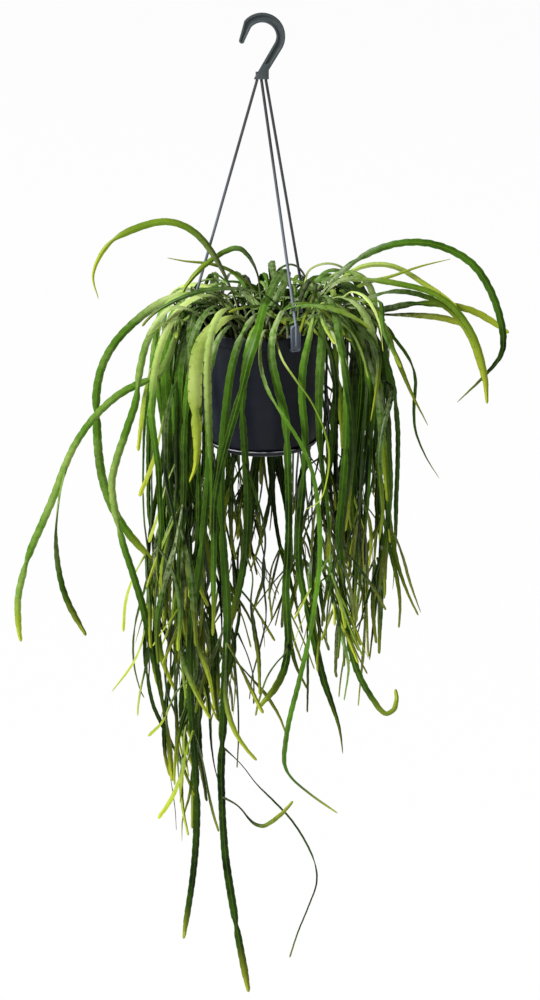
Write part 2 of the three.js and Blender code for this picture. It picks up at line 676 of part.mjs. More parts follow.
sprays.forEach((spray, i) => {
  const name = `spray_${String(i + 1).padStart(2, '0')}`;
  const start = rootPoint(roots[namedStems.length + i]);
  const sideways = Math.sin(THREE.MathUtils.degToRad(spray.azimuth));
  const widening = 1 + (sideways > 0 ? RIGHT_WIDENING : LEFT_WIDENING) * Math.abs(sideways);
  const hang = (spray.layer.hangRadius + between(-6, 10)) * widening;
  const reachTo = (from, azimuth, radius) => {
    const out = outward(azimuth);
    const along = from.x * out.x + from.y * out.y;
    const off = from.x * from.x + from.y * from.y - along * along;
    return Math.max(16, Math.sqrt(Math.max(radius * radius - off, 100)) - along);
  };
  const lift = spray.layer.lift + between(-4, 4);
  const rise = spray.layer.rise + between(-6, 8);
  const reach = reachTo(start, spray.azimuth, hang);
  const main = addStem(
    name,
    { half: between(4.4, 5.6), ending: endingDraw(), twist: between(-0.8, 0.8) },
    pendantRoute(start, spray.azimuth, {
      lift, rise, reach,
      length: rise + 1.1 * reach + 40 + spray.layer.trail * trailLength(spray.azimuth),
      sway: between(8, 20), phase: between(0, 6),
    }),
    null,
  );
  const siblings = i % 3 === 2 ? 1 : 2;
  for (let k = 0; k < siblings; k += 1) {
    const parentNode = 2 + (k % 2);
    const from = main.nodes[parentNode];
    const side = k % 2 === 0 ? 1 : -1;
    const azimuth = spray.azimuth + side * between(12, 30) * (1 + 0.4 * k);
    const siblingReach = reachTo(from, azimuth, hang + between(-10, 22));
    addStem(
      name,
      { half: between(4.2, 5.6), ending: endingDraw(), parentNode, twist: between(-0.8, 0.8) },
      pendantRoute(from, azimuth, {
        lift: lift + between(-16, 0), rise: 0.4 * rise, reach: siblingReach,
        length: 1.1 * siblingReach + 40 + spray.layer.trail * trailLength(azimuth),
        sway: between(8, 20), phase: between(0, 6),
      }),
      main,
    );
  }
  if (i % 2 === 0) {
    const parentNode = main.nodes.length - 5;
    const azimuth = spray.azimuth + (random() < 0.5 ? 70 : -70);
    addStem(
      name,
      { half: between(3.6, 4.6), ending: endingDraw(), parentNode, twist: between(-0.8, 0.8) },
      pendantRoute(main.nodes[parentNode], azimuth, {
        lift: -40, rise: 0, reach: between(22, 34), length: between(110, 170), sway: 6, phase: 0,
      }),
      main,
    );
  }
});

// Fixed things that the stems lie clear of: the rods, their paddles and the fingers over the rim
const ROD_KEEP_OFF = 2;
const PADDLE_KEEP_OFF = 7;
const FINGER_KEEP_OFF = 4;
const obstacles = [];
for (const hanger of hangers) {
  const out = outward(hanger.azimuth);
  const aside = new THREE.Vector3(-out.y, out.x, 0).multiplyScalar(PADDLE_WIDTH / 2);
  const finger = out.clone().multiplyScalar(FINGER_INSIDE + 1).setZ(RIM_TOP);
  const fingerStart = finger.clone().sub(aside);
  const fingerEnd = finger.clone().add(aside);
  const paddleFoot = hanger.foot.clone().setZ(PADDLE_BOTTOM);
  obstacles.push({ start: hanger.bend, end: hanger.foot, radius: ROD_KEEP_OFF });
  obstacles.push({ start: hanger.foot, end: paddleFoot, radius: PADDLE_KEEP_OFF });
  obstacles.push({ start: fingerStart, end: fingerEnd, radius: FINGER_KEEP_OFF });
}

// Segments between neighbouring nodes, and the fixed ones after them
const segments = [];
stems.forEach((stem) => {
  stem.reaches = stem.halfWidths.map((halfWidth) => halfWidth * (1 + NOTCH) + 0.2);
  for (let i = 0; i + 1 < stem.nodes.length; i += 1) {
    segments.push({ stem, first: i, along: stem.distances[i], spray: stem.spray });
  }
});
const fixedStem = {
  spray: 'fixed',
  nodes: obstacles.flatMap((obstacle) => [obstacle.start, obstacle.end]),
  reaches: obstacles.flatMap((obstacle) => [obstacle.radius, obstacle.radius]),
};
fixedStem.shifts = fixedStem.nodes.map(() => new THREE.Vector3());
obstacles.forEach((obstacle, i) => {
  segments.push({ stem: fixedStem, first: 2 * i, along: Infinity, spray: 'fixed' });
});

function isFixed(stem, node) {
  return stem === fixedStem || (!stem.parent && node < 2);
}

function place(stem, node) {
  return stem.nodes[node].clone().add(stem.shifts[node]);
}

// Shares along two segments at which they come nearest to each other
function nearestShares(a0, a1, b0, b1) {
  const u = a1.clone().sub(a0);
  const v = b1.clone().sub(b0);
  const w = a0.clone().sub(b0);
  const uu = u.dot(u);
  const vv = v.dot(v);
  const uv = u.dot(v);
  const uw = u.dot(w);
  const vw = v.dot(w);
  const spread = uu * vv - uv * uv;
  const clamp = THREE.MathUtils.clamp;
  let s = spread > 1e-6 * uu * vv ? clamp((uv * vw - vv * uw) / spread, 0, 1) : 0.5;
  let t = (uv * s + vw) / vv;
  if (t < 0 || t > 1) {
    t = clamp(t, 0, 1);
    s = clamp((uv * t - uw) / uu, 0, 1);
  }
  return [s, t];
}

const LIST_EVERY = 10;
const LIST_MARGIN = 24;
const LIST_CELL = 40;
const NEAR_OWN_START = 45;

function nearbyPairs() {
  const cells = new Map();
  const middles = segments.map(({ stem, first }) => {
    return place(stem, first).add(place(stem, first + 1)).multiplyScalar(0.5);
  });
  const spans = segments.map(({ stem, first }) => place(stem, first).distanceTo(place(stem, first + 1)));
  const shortOnes = [];
  const longOnes = [];
  segments.forEach((segment, i) => {
    (spans[i] > LIST_CELL ? longOnes : shortOnes).push(i);
  });
  const pairs = [];
  const consider = (i, k) => {
    const [a, b] = [segments[i], segments[k]];
    if (a.stem === b.stem) {
      return;
    }
    const nearJoint = Math.min(a.along, b.along) < NEAR_OWN_START;
    const reach = (spans[i] + spans[k]) / 2 + LIST_MARGIN;
    if ((a.spray !== b.spray || !nearJoint) && middles[i].distanceTo(middles[k]) < reach) {
      pairs.push([a, b]);
    }
  };
  for (const i of shortOnes) {
    const [cx, cy, cz] = middles[i].toArray().map((value) => Math.floor(value / LIST_CELL));
    for (let dx = -1; dx <= 1; dx += 1) {
      for (let dy = -1; dy <= 1; dy += 1) {
        for (let dz = -1; dz <= 1; dz += 1) {
          for (const k of cells.get(`${cx + dx},${cy + dy},${cz + dz}`) ?? []) {
            consider(i, k);
          }
        }
      }
    }
    const key = `${cx},${cy},${cz}`;
    cells.set(key, [...(cells.get(key) ?? []), i]);
    longOnes.forEach((k) => consider(i, k));
  }
  return pairs;
}

// One contact: both segments give way at their nearest points, a fixed one not at all
function pushApart(a, b) {
  const [a0, a1] = [place(a.stem, a.first), place(a.stem, a.first + 1)];
  const [b0, b1] = [place(b.stem, b.first), place(b.stem, b.first + 1)];
  const [s, t] = nearestShares(a0, a1, b0, b1);
  const away = a0.clone().lerp(a1, s).sub(b0.clone().lerp(b1, t));
  const lerp = THREE.MathUtils.lerp;
  const need = lerp(a.stem.reaches[a.first], a.stem.reaches[a.first + 1], s)
    + lerp(b.stem.reaches[b.first], b.stem.reaches[b.first + 1], t) + STEM_GAP;
  const distance = away.length();
  if (distance >= need) {
    return;
  }
  if (distance < 0.3) {
    away.crossVectors(a1.sub(a0), b1.sub(b0));
    if (away.length() < 1) {
      away.set(0, 0, 1);
    }
  }
  const share = b.stem === fixedStem || a.stem === fixedStem ? 1 : 0.5;
  away.setLength((need - distance) * share);
  addPush(a, s, away);
  addPush(b, t, away.negate());
}

function addPush(segment, share, push) {
  const { stem, first } = segment;
  const [near, far] = [1 - share, share];
  const lever = near * near + far * far;
  stem.pushes[first].addScaledVector(push, near / lever);
  stem.pushes[first + 1].addScaledVector(push, far / lever);
  stem.loads[first] += near;
  stem.loads[first + 1] += far;
}

// Outer radius of the pot and saucer at a height
function holderRadius(height) {
  if (height > BAND_BOTTOM - 2) {
    return RIM_RADIUS;
  }
  if (height > SHOULDER_TOP) {
    const share = (height - SHOULDER_TOP) / (BAND_BOTTOM - SHOULDER_TOP);
    return THREE.MathUtils.lerp(WAIST_RADIUS, SHOULDER_RADIUS, share);
  }
  return height > SAUCER_BOTTOM - 8 ? WAIST_RADIUS : 0;
}

const RIM_RING_RADIUS = RIM_RADIUS - 1;
const RIM_RING_HEIGHT = RIM_TOP - 1.5;
const RIM_RING_THICKNESS = 1.9;

// A stem passes over the rim, hangs outside the wall and keeps off the soil
function keepClearOfHolder(stem) {
  const holderGap = 0.6;
  for (let i = 1; i + 1 < stem.nodes.length; i += 1) {
    const [a, b] = [place(stem, i), place(stem, i + 1)];
    const [ra, rb] = [Math.hypot(a.x, a.y), Math.hypot(b.x, b.y)];
    const run = rb - ra;
    const rise = b.z - a.z;
    const toRing = (RIM_RING_RADIUS - ra) * run + (RIM_RING_HEIGHT - a.z) * rise;
    const share = THREE.MathUtils.clamp(toRing / Math.max(run * run + rise * rise, 1e-6), 0, 1);
    let offR = ra + run * share - RIM_RING_RADIUS;
    let offZ = a.z + rise * share - RIM_RING_HEIGHT;
    const distance = Math.hypot(offR, offZ);
    const need = RIM_RING_THICKNESS + Math.max(stem.reaches[i], stem.reaches[i + 1]) + holderGap;
    const crosses = (ra - RIM_RING_RADIUS) * (rb - RIM_RING_RADIUS) < 0;
    const under = crosses && offZ < 0;
    if (distance < need || (under && distance < 30)) {
      const lack = under ? need + distance : need - distance;
      const length = under ? 1 : Math.max(distance, 0.01);
      [offR, offZ] = under ? [0, 1] : [offR / length, offZ / length];
      const middle = a.clone().lerp(b, share).setZ(0).normalize().multiplyScalar(offR * lack);
      middle.z = offZ * lack;
      const lever = share * share + (1 - share) * (1 - share);
      if (!isFixed(stem, i)) {
        stem.shifts[i].addScaledVector(middle, (1 - share) / lever);
      }
      stem.shifts[i + 1].addScaledVector(middle, share / lever);
    }
  }
  for (let i = stem.parent ? 1 : 2; i < stem.nodes.length; i += 1) {
    const here = place(stem, i);
    const radius = Math.hypot(here.x, here.y);
    const clear = stem.reaches[i] + holderGap;
    if (radius > SHOULDER_RADIUS - 1 && here.z < RIM_TOP - 1) {
      const lack = holderRadius(here.z) + clear - radius;
      if (lack > 0) {
        stem.shifts[i].x += (here.x / radius) * lack;
        stem.shifts[i].y += (here.y / radius) * lack;
      }
    } else if (Math.abs(here.z - SOIL_TOP) < 20 && radius <= SHOULDER_RADIUS - 1) {
      stem.shifts[i].z += Math.max(0, SOIL_TOP + clear - here.z);
    }
  }
}

// Rounds of spreading, which start supple and end exact
const SPREAD_ROUNDS = 260;
const SUPPLE_ROUNDS = 120;
const EXACT_ROUNDS = 200;
let pairs = [];
for (let round = 0; round < SPREAD_ROUNDS; round += 1) {
  if (round % LIST_EVERY === 0) {
    pairs = nearbyPairs();
  }
  for (const stem of [...stems, fixedStem]) {
    stem.pushes = stem.nodes.map(() => new THREE.Vector3());
    stem.loads = stem.nodes.map(() => 0);
  }
  pairs.forEach(([a, b]) => pushApart(a, b));
  const supple = THREE.MathUtils.clamp((EXACT_ROUNDS - round) / (EXACT_ROUNDS - SUPPLE_ROUNDS), 0, 1);
  const smoothing = 0.02 + 0.45 * supple;
  for (const stem of stems) {
    stem.nodes.forEach((node, i) => {
      if (!isFixed(stem, i)) {
        stem.shifts[i].addScaledVector(stem.pushes[i], 0.95 / Math.max(1, stem.loads[i]));
      }
    });
    if (stem.parent) {
      stem.shifts[0].copy(stem.parent.shifts[stem.parentNode]);
    }
    const before = stem.shifts.map((shift) => shift.clone());
    for (let i = stem.parent ? 1 : 2; i < before.length; i += 1) {
      const even = i + 1 < before.length
        ? before[i - 1].clone().add(before[i + 1]).multiplyScalar(0.5)
        : before[i - 1];
      stem.shifts[i].lerp(even, smoothing);
    }
    keepClearOfHolder(stem);
  }
}
for (const stem of stems) {
  stem.nodes = stem.nodes.map((node, i) => place(stem, i));
}
for (const stem of stems.filter(({ parent }) => parent)) {
  stem.nodes[0] = stem.parent.nodes[stem.parentNode].clone();
}

// A flat stem: sections of two edges and a rib, the edges notched by turns on the left and right.
// Every strip is split along diagonals that run the same way, so the faces never cross.
function stemSolid(stem) {
  const { nodes, distances, halfWidths } = stem;
  const last = nodes.length - 1;
  const tangents = nodes.map((node, i) => {
    if (isFixed(stem, i)) {
      return new THREE.Vector3(0, 0, 1);
    }
    return nodes[Math.min(i + 1, last)].clone().sub(nodes[Math.max(i - 1, 0)]).normalize();
  });
  const heading = nodes[Math.min(last, 7)].clone().sub(nodes[0]).setZ(0).normalize();
  // A stem that sets off sideways turns its flat face to the front as it goes
  const facing = FACING_TURN * heading.x;
  let across = new THREE.Vector3(-heading.y, heading.x, 0);
  const corners = [];
  nodes.forEach((node, i) => {
    const tangent = tangents[i];
    across.addScaledVector(tangent, -across.dot(tangent)).normalize();
    const faced = facing * THREE.MathUtils.smoothstep(distances[i], 20, 120);
    const turned = across.clone().applyAxisAngle(tangent, faced + stem.twist * (distances[i] / 150));
    const outwards = tangent.clone().cross(turned);
    const grown = THREE.MathUtils.smoothstep(distances[i], 20, 100);
    const notch = (i % 2 === 0 ? NOTCH : -NOTCH) * grown;
    const rounded = stem.parent ? 0 : 1 - THREE.MathUtils.smoothstep(distances[i], 10, 60);
    const thin = Math.min(1, 0.35 + halfWidths[i] / 3);
    const thickness = THREE.MathUtils.lerp(STEM_THICKNESS * thin, STALK_THICKNESS, rounded);
    const back = node.clone().addScaledVector(outwards, -0.4 * thickness);
    corners.push(back.clone().addScaledVector(turned, -halfWidths[i] * (1 + notch)));
    corners.push(back.clone().addScaledVector(turned, halfWidths[i] * (1 - notch)));
    corners.push(node.clone().addScaledVector(outwards, 0.6 * thickness));
  });
  const faces = [[0, 2, 1], [3 * last, 3 * last + 1, 3 * last + 2]];
  for (let i = 0; i < last; i += 1) {
    const [left, right, rib] = [3 * i, 3 * i + 1, 3 * i + 2];
    const [nextLeft, nextRight, nextRib] = [left + 3, right + 3, rib + 3];
    faces.push([left, right, nextLeft], [right, nextRight, nextLeft]);
    faces.push([right, rib, nextRib], [right, nextRib, nextRight]);
    faces.push([rib, left, nextLeft], [rib, nextLeft, nextRib]);
  }
  const geometry = new THREE.BufferGeometry();
  const numbers = corners.flatMap((corner) => corner.toArray());
  geometry.setAttribute('position', new THREE.BufferAttribute(Float32Array.from(numbers), 3));
  geometry.setIndex(faces.flat());
  return solidOf(geometry);
}

// Each spray is its rooted stem with its branches fused on
const sprayNames = [...new Set(stems.map((stem) => stem.spray))];
for (const name of sprayNames) {
  const own = stems.filter((stem) => stem.spray === name);
  const solid = own.map(stemSolid).reduce((whole, stem) => whole.add(stem));
  addPiece(name, solid, own[0].young ? youngStem : matureStem);
}

// Soil: fills the pot to below its rim, with a plain hole for each stalk
const soilSide = [
  [NECK_RADIUS - 2, FLOOR_TOP + SEAT_GAP],
  [NECK_RADIUS - 2, POT_BOTTOM + 8],
  [60, POT_BOTTOM + 17],
  [WAIST_RADIUS - WALL, SHOULDER_TOP],
  [SHOULDER_RADIUS - WALL, SOIL_TOP - 1.5],
].map(([radius, height]) => [radius - 0.4, height]);
let soil = turned([
  [0, FLOOR_TOP + SEAT_GAP],
  ...soilSide,
  [SHOULDER_RADIUS - WALL - 2, SOIL_TOP],
  [0, SOIL_TOP],
]);
for (const stem of stems.filter(({ parent }) => !parent)) {
  const { x, y } = stem.nodes[0];
  const bottom = SOIL_TOP - STALK_DEPTH - 0.5;
  soil = soil.subtract(uprightCylinder(STALK_HOLE_RADIUS, bottom, RIM_TOP, 6, x, y));
}
addPiece('soil', soil, compost);

export default root;
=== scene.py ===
"""A trailing flat-stemmed cactus in a hanging nursery pot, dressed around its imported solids.

The solids' frame is in metres with +Z up, and its origin is the seat of the hook.
"""
import json
import math

import bpy
import numpy as np
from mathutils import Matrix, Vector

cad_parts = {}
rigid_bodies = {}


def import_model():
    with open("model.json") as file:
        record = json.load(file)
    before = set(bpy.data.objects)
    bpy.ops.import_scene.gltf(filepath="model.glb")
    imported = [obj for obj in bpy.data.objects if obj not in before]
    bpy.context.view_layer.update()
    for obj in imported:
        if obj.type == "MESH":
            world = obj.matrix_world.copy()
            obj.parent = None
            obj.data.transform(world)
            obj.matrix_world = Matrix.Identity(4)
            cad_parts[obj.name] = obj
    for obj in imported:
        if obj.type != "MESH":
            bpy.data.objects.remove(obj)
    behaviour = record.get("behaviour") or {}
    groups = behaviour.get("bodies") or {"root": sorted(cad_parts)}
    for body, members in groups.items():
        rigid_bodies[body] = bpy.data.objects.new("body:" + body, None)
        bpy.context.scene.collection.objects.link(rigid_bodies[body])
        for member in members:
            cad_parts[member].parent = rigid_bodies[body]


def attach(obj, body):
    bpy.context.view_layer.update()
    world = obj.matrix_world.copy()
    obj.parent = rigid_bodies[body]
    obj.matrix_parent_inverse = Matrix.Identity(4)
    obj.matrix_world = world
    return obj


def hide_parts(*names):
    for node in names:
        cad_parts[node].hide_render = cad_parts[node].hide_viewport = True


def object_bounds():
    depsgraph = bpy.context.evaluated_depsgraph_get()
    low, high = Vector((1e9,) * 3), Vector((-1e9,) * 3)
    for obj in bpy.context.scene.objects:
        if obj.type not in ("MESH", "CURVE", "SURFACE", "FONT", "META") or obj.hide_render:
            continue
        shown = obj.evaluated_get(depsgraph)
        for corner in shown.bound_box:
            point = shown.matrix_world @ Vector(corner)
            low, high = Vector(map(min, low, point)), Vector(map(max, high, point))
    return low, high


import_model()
cad_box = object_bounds()

# Camera: about 3 m away and a little above the pot, looking down at 19 degrees as the
# photographer did, with a long lens so that the pot's sides stay nearly straight.
CAMERA_PLACE = (0.00849, -2.83656, 0.43996)
CAMERA_PITCH = 19

camera_data = bpy.data.cameras.new("studio_camera")
camera_data.lens = 95.8
camera_data.sensor_width = 36
camera = bpy.data.objects.new("studio_camera", camera_data)
camera.location = CAMERA_PLACE
camera.rotation_euler = (math.radians(90 - CAMERA_PITCH), 0, 0)
bpy.context.scene.collection.objects.link(camera)
bpy.context.scene.camera = camera
bpy.context.scene.view_settings.view_transform = "Standard"

# Pot: an injection-moulded nursery pot, 150 mm across its rim. It has a thin wall, a stiffening
# band under the rim, a rounded foot with a flange for the saucer, and holes for drainage.
MM = 0.001
RIM_RADIUS = 75
RIM_TOP = -329
BAND_BOTTOM = RIM_TOP - 12
SHOULDER_RADIUS = 70.8
WAIST_RADIUS = 66.6
POT_BOTTOM = -465.2
SHOULDER_TOP = POT_BOTTOM + 30
POT_SIDES = 96
FOOT_RINGS = [
    (58.2, 0), (58.2, 1.4), (55.5, 2), (55.5, 4.4), (60, 5.2), (61.4, 6.4), (62.6, 9), (63.9, 13), (65.1, 18),
    (66, 24), (WAIST_RADIUS, 30), (67.6, 50), (68.9, 80),
]
POT_RINGS = [(radius, POT_BOTTOM + height) for radius, height in FOOT_RINGS] + [
    (SHOULDER_RADIUS, BAND_BOTTOM - 0.6), (73.6, BAND_BOTTOM - 0.3), (74.5, BAND_BOTTOM + 0.6),
    (RIM_RADIUS, RIM_TOP - 1.4), (74.7, RIM_TOP - 0.4), (74.2, RIM_TOP), (73.4, RIM_TOP), (73, RIM_TOP - 0.5),
    (73, BAND_BOTTOM), (69, BAND_BOTTOM - 3), (64.8, SHOULDER_TOP), (60, POT_BOTTOM + 17),
    (53.5, POT_BOTTOM + 8), (53.5, POT_BOTTOM + 2),
]
DRAIN_HOLES = 6
DRAIN_HOLE_RADIUS = 3.5
DRAIN_RING_RADIUS = 38


def start_piece():
    """Leaves nothing selected, so that a new primitive is shaped alone."""
    if bpy.context.mode != "OBJECT":
        bpy.ops.object.mode_set(mode="OBJECT")
    bpy.ops.object.select_all(action="DESELECT")


def pick(piece):
    """Selects one piece alone and makes it the active one."""
    start_piece()
    piece.select_set(True)
    bpy.context.view_layer.objects.active = piece


def apply_place(piece):
    """Puts the piece's place in its mesh, with its object at the origin."""
    pick(piece)
    bpy.ops.object.transform_apply(location=True, rotation=True, scale=True)
    return piece


def face_outwards():
    """Turns the normals of the piece in hand outwards."""
    bpy.ops.mesh.select_all(action="SELECT")
    bpy.ops.mesh.normals_make_consistent(inside=False)


def draw_up(name, rings, sides):
    """A turned piece: a disc drawn up ring by ring, outside first, until it closes on its inside floor."""
    start_piece()
    radius, height = rings[0]
    bpy.ops.mesh.primitive_circle_add(
        vertices=sides, radius=radius * MM, fill_type="NGON", location=(0, 0, height * MM))
    piece = bpy.context.object
    piece.name = name
    bpy.ops.object.mode_set(mode="EDIT")
    bpy.ops.mesh.select_all(action="SELECT")
    for next_radius, next_height in rings[1:]:
        lift = (next_height - height) * MM
        spread = next_radius / radius
        bpy.ops.mesh.extrude_region_move(TRANSFORM_OT_translate={"value": (0, 0, lift)})
        bpy.ops.transform.resize(value=(spread, spread, 1), center_override=(0, 0, next_height * MM))
        radius, height = next_radius, next_height
    face_outwards()
    return apply_place(piece)


def combine(piece, other, operation):
    """Cuts another closed piece out of a piece, or joins it on."""
    pick(piece)
    change = piece.modifiers.new("change", "BOOLEAN")
    change.operation = operation
    change.solver = "EXACT"
    change.object = other
    bpy.ops.object.modifier_apply(modifier=change.name)
    bpy.data.objects.remove(other)


def cut_away(piece, cutters):
    """Cuts the joined shape of some closed cutters out of a piece."""
    start_piece()
    for cutter in cutters:
        cutter.select_set(True)
    bpy.context.view_layer.objects.active = cutters[0]
    bpy.ops.object.join()
    combine(piece, cutters[0], "DIFFERENCE")


def round_edges(piece, width, segments, angle):
    """Rounds the edges sharper than the angle by a width in millimetres, and shades the piece smooth."""
    pick(piece)
    if width > 0:
        bevel = piece.modifiers.new("rounding", "BEVEL")
        bevel.width = width * MM
        bevel.segments = segments
        bevel.limit_method = "ANGLE"
        bevel.angle_limit = math.radians(angle)
        bpy.ops.object.modifier_apply(modifier=bevel.name)
    bpy.ops.object.shade_smooth_by_angle(angle=math.radians(angle))


def drill(x, y, radius, low, high):
    """An upright round cutter, sizes in millimetres."""
    start_piece()
    bpy.ops.mesh.primitive_cylinder_add(
        vertices=24, radius=radius * MM, depth=(high - low) * MM,
        location=(x * MM, y * MM, (low + high) / 2 * MM))
    return apply_place(bpy.context.object)


pot = draw_up("nursery_pot", POT_RINGS, POT_SIDES)
drain_turns = [2 * math.pi * i / DRAIN_HOLES for i in range(DRAIN_HOLES)]
cut_away(pot, [
    drill(DRAIN_RING_RADIUS * math.cos(turn), DRAIN_RING_RADIUS * math.sin(turn), DRAIN_HOLE_RADIUS,
          POT_BOTTOM - 2, POT_BOTTOM + 4)
    for turn in drain_turns
])
round_edges(pot, 0.25, 2, 38)


def feed(tree, socket, value):
    """Links a socket to an input, or sets the input to a colour or a number."""
    if isinstance(value, bpy.types.NodeSocket):
        tree.links.new(value, socket)
    else:
        socket.default_value = (*value, 1) if isinstance(value, tuple) else value


def add_node(tree, kind, inputs=(), **settings):
    """A shader node with its settings and its inputs, which are given by name or by number."""
    node = tree.nodes.new("ShaderNode" + kind)
    for title, value in settings.items():
        setattr(node, title, value)
    for title, value in dict(inputs).items():
        feed(tree, node.inputs[title], value)
    return node


def object_place(tree):
    """The Object coordinates of what is shaded."""
    return add_node(tree, "TexCoord").outputs["Object"]


def value_noise(tree, scale, detail, roughness=0.5):
    """A noise texture on Object coordinates, its scale in features per metre."""
    return add_node(tree, "TexNoise", {
        "Vector": object_place(tree), "Scale": scale, "Detail": detail, "Roughness": roughness,
    }).outputs["Fac"]


def figure(tree, operation, *values, clamp=False):
    """One step of arithmetic on sockets and numbers."""
    return add_node(tree, "Math", enumerate(values), operation=operation, use_clamp=clamp).outputs[0]


def ramp(tree, value, low, high, top=1.0, bottom=0.0, kind="LINEAR"):
    """Goes from its bottom to its top as the value goes from low to high."""
    return add_node(tree, "MapRange", {
        "Value": value, "From Min": low, "From Max": high, "To Min": bottom, "To Max": top,
    }, interpolation_type=kind).outputs["Result"]


def mix_colour(tree, factor, first, second):
    """A mix of two colours, each a socket or plain values."""
    return add_node(tree, "Mix", {0: factor, 6: first, 7: second}, data_type="RGBA").outputs[2]


def new_group(title, given, results):
    """An empty node group, with the sockets that it is given and those of its results."""
    tree = bpy.data.node_groups.new(title, "ShaderNodeTree")
    for way, names in (("INPUT", given), ("OUTPUT", results)):
        for name in names:
            kind = "NodeSocketColor" if "Colour" in name else "NodeSocketFloat"
            tree.interface.new_socket(name, in_out=way, socket_type=kind)
    return tree, tree.nodes.new("NodeGroupInput").outputs, tree.nodes.new("NodeGroupOutput").inputs


def moulded_surface_group():
    """Moulded plastic: a fine spark-eroded texture, dull scuffed patches, dust and dried splashes."""
    tree, given, result = new_group(
        "moulded_surface", ("Plastic Colour", "Dust Colour", "Dust", "Smoothest"),
        ("Colour", "Roughness", "Height"))
    patches = value_noise(tree, 28, 4, 0.6)
    specks = value_noise(tree, 420, 2, 0.7)
    marks = figure(tree, "ADD", ramp(tree, patches, 0.5, 0.75), ramp(tree, specks, 0.6, 0.72, 0.5))
    dusty = figure(tree, "MULTIPLY", marks, given["Dust"], clamp=True)
    feed(tree, result["Colour"], mix_colour(tree, dusty, given["Plastic Colour"], given["Dust Colour"]))
    feed(tree, result["Roughness"], figure(tree, "MULTIPLY_ADD", patches, 0.3, given["Smoothest"]))
    feed(tree, result["Height"], value_noise(tree, 1600, 1))
    return tree


def skinned(name, group, shine, relief, strength, values):
    """A material that takes its colour, roughness and relief from a node group."""
    material = bpy.data.materials.new(name)
    material.use_nodes = True
    tree = material.node_tree
    skin = add_node(tree, "Group", values, node_tree=group).outputs
    bump = add_node(tree, "Bump", {"Distance": relief, "Strength": strength, "Height": skin["Height"]})
    shader = tree.nodes["Principled BSDF"].inputs
    feed(tree, shader["Specular IOR Level"], shine)
    feed(tree, shader["Base Color"], skin["Colour"])
    feed(tree, shader["Roughness"], skin["Roughness"])
    feed(tree, shader["Normal"], bump.outputs["Normal"])
    return material


moulded_surface = moulded_surface_group()


def moulded_plastic(name, colour, dust_colour, dust, smoothest, shine=0.2):
    """A plastic material that takes its wear from the moulded surface group."""
    return skinned(name, moulded_surface, shine, 0.00004, 0.5, {
        "Plastic Colour": colour, "Dust Colour": dust_colour, "Dust": dust, "Smoothest": smoothest})


pot.data.materials.append(moulded_plastic(
    "blue_black_pot_plastic", (0.0044, 0.0064, 0.0120), (0.024, 0.030, 0.042), 0.3, 0.30))
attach(pot, "root")
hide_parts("pot")

# Saucer: a shallow clip-on drip tray of the same plastic. Its inner bead snaps over the pot's
# flange, and its thin lip stands close round the pot's foot, with a broken pale line along its edge:
# a painted highlight where the lip catches light, with some wear.
SAUCER_BOTTOM = -467
SAUCER_TOP = -460
SAUCER_RINGS = [
    (56.5, SAUCER_BOTTOM), (57.5, SAUCER_BOTTOM + 0.2), (59.4, SAUCER_BOTTOM + 1.1),
    (61, SAUCER_BOTTOM + 2.4), (61.9, SAUCER_BOTTOM + 4),
    (62.3, SAUCER_TOP - 1.8), (63.0, SAUCER_TOP - 1.5), (63.2, SAUCER_TOP - 1),
    (63.2, SAUCER_TOP - 0.3), (62.9, SAUCER_TOP), (62.1, SAUCER_TOP), (61.8, SAUCER_TOP - 0.4),
    (60.6, SAUCER_TOP - 1.6), (56.2, SAUCER_TOP - 2.3), (56.2, SAUCER_TOP - 3.2), (58.6, POT_BOTTOM + 1.7),
    (58.6, POT_BOTTOM - 0.3),
]
LIP_HIGHLIGHT_BREADTH = 1.2
saucer = draw_up("drip_saucer", SAUCER_RINGS, POT_SIDES)
round_edges(saucer, 0.2, 2, 38)


def add_lip_highlight_line(material, height, breadth, highlight_colour):
    """Lays a broken pale line at a height, in millimetres, along a lip: a painted highlight where its edge
    catches light, partly wear.
    """
    tree = material.node_tree
    base = tree.nodes["Principled BSDF"].inputs["Base Color"]
    plain = base.links[0].from_socket
    rise = add_node(tree, "SeparateXYZ", {0: object_place(tree)}).outputs["Z"]
    near_line = ramp(tree, rise, (height - breadth) * MM, (height - breadth / 2) * MM)
    broken = ramp(tree, value_noise(tree, 65, 3, 0.6), 0.36, 0.56)
    feed(tree, base, mix_colour(tree, figure(tree, "MULTIPLY", near_line, broken), plain, highlight_colour))


saucer_plastic = moulded_plastic(
    "blue_black_saucer_plastic", (0.0044, 0.0064, 0.0116), (0.024, 0.030, 0.042), 0.3, 0.30)
# Painted highlight: a broken pale line where the saucer's lip catches light, partly wear.
add_lip_highlight_line(saucer_plastic, SAUCER_TOP, LIP_HIGHLIGHT_BREADTH, (0.30, 0.30, 0.32))
saucer.data.materials.append(saucer_plastic)
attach(saucer, "root")
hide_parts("saucer")

# Compost: brown potting mix of bark fibre and peat, pressed in by hand to below the rim, with
# loose crumbs on top and a few white grains of perlite.
SOIL_TOP = -343.5
SOIL_RINGS = [
    (53.1, POT_BOTTOM + 2.3), (53.1, POT_BOTTOM + 8), (59.6, POT_BOTTOM + 17), (64.4, SHOULDER_TOP),
    (68.4, SOIL_TOP - 1.6), (67, SOIL_TOP - 0.6), (60, SOIL_TOP - 0.4), (50, SOIL_TOP - 0.9),
    (40, SOIL_TOP - 0.3), (30, SOIL_TOP - 1.0), (20, SOIL_TOP - 0.4), (10, SOIL_TOP - 0.8),
]
SOIL_ROUGHNESS = 1.1
CRUMB_FIELD_RADIUS = 66
soil_random = np.random.default_rng(512)
soil = draw_up("potting_compost", SOIL_RINGS, 72)
for vertex in soil.data.vertices:
    if vertex.co.z > (SOIL_TOP - 1.3) * MM and math.hypot(vertex.co.x, vertex.co.y) < 0.0675:
        vertex.co.z -= soil_random.uniform(0, SOIL_ROUGHNESS) * MM

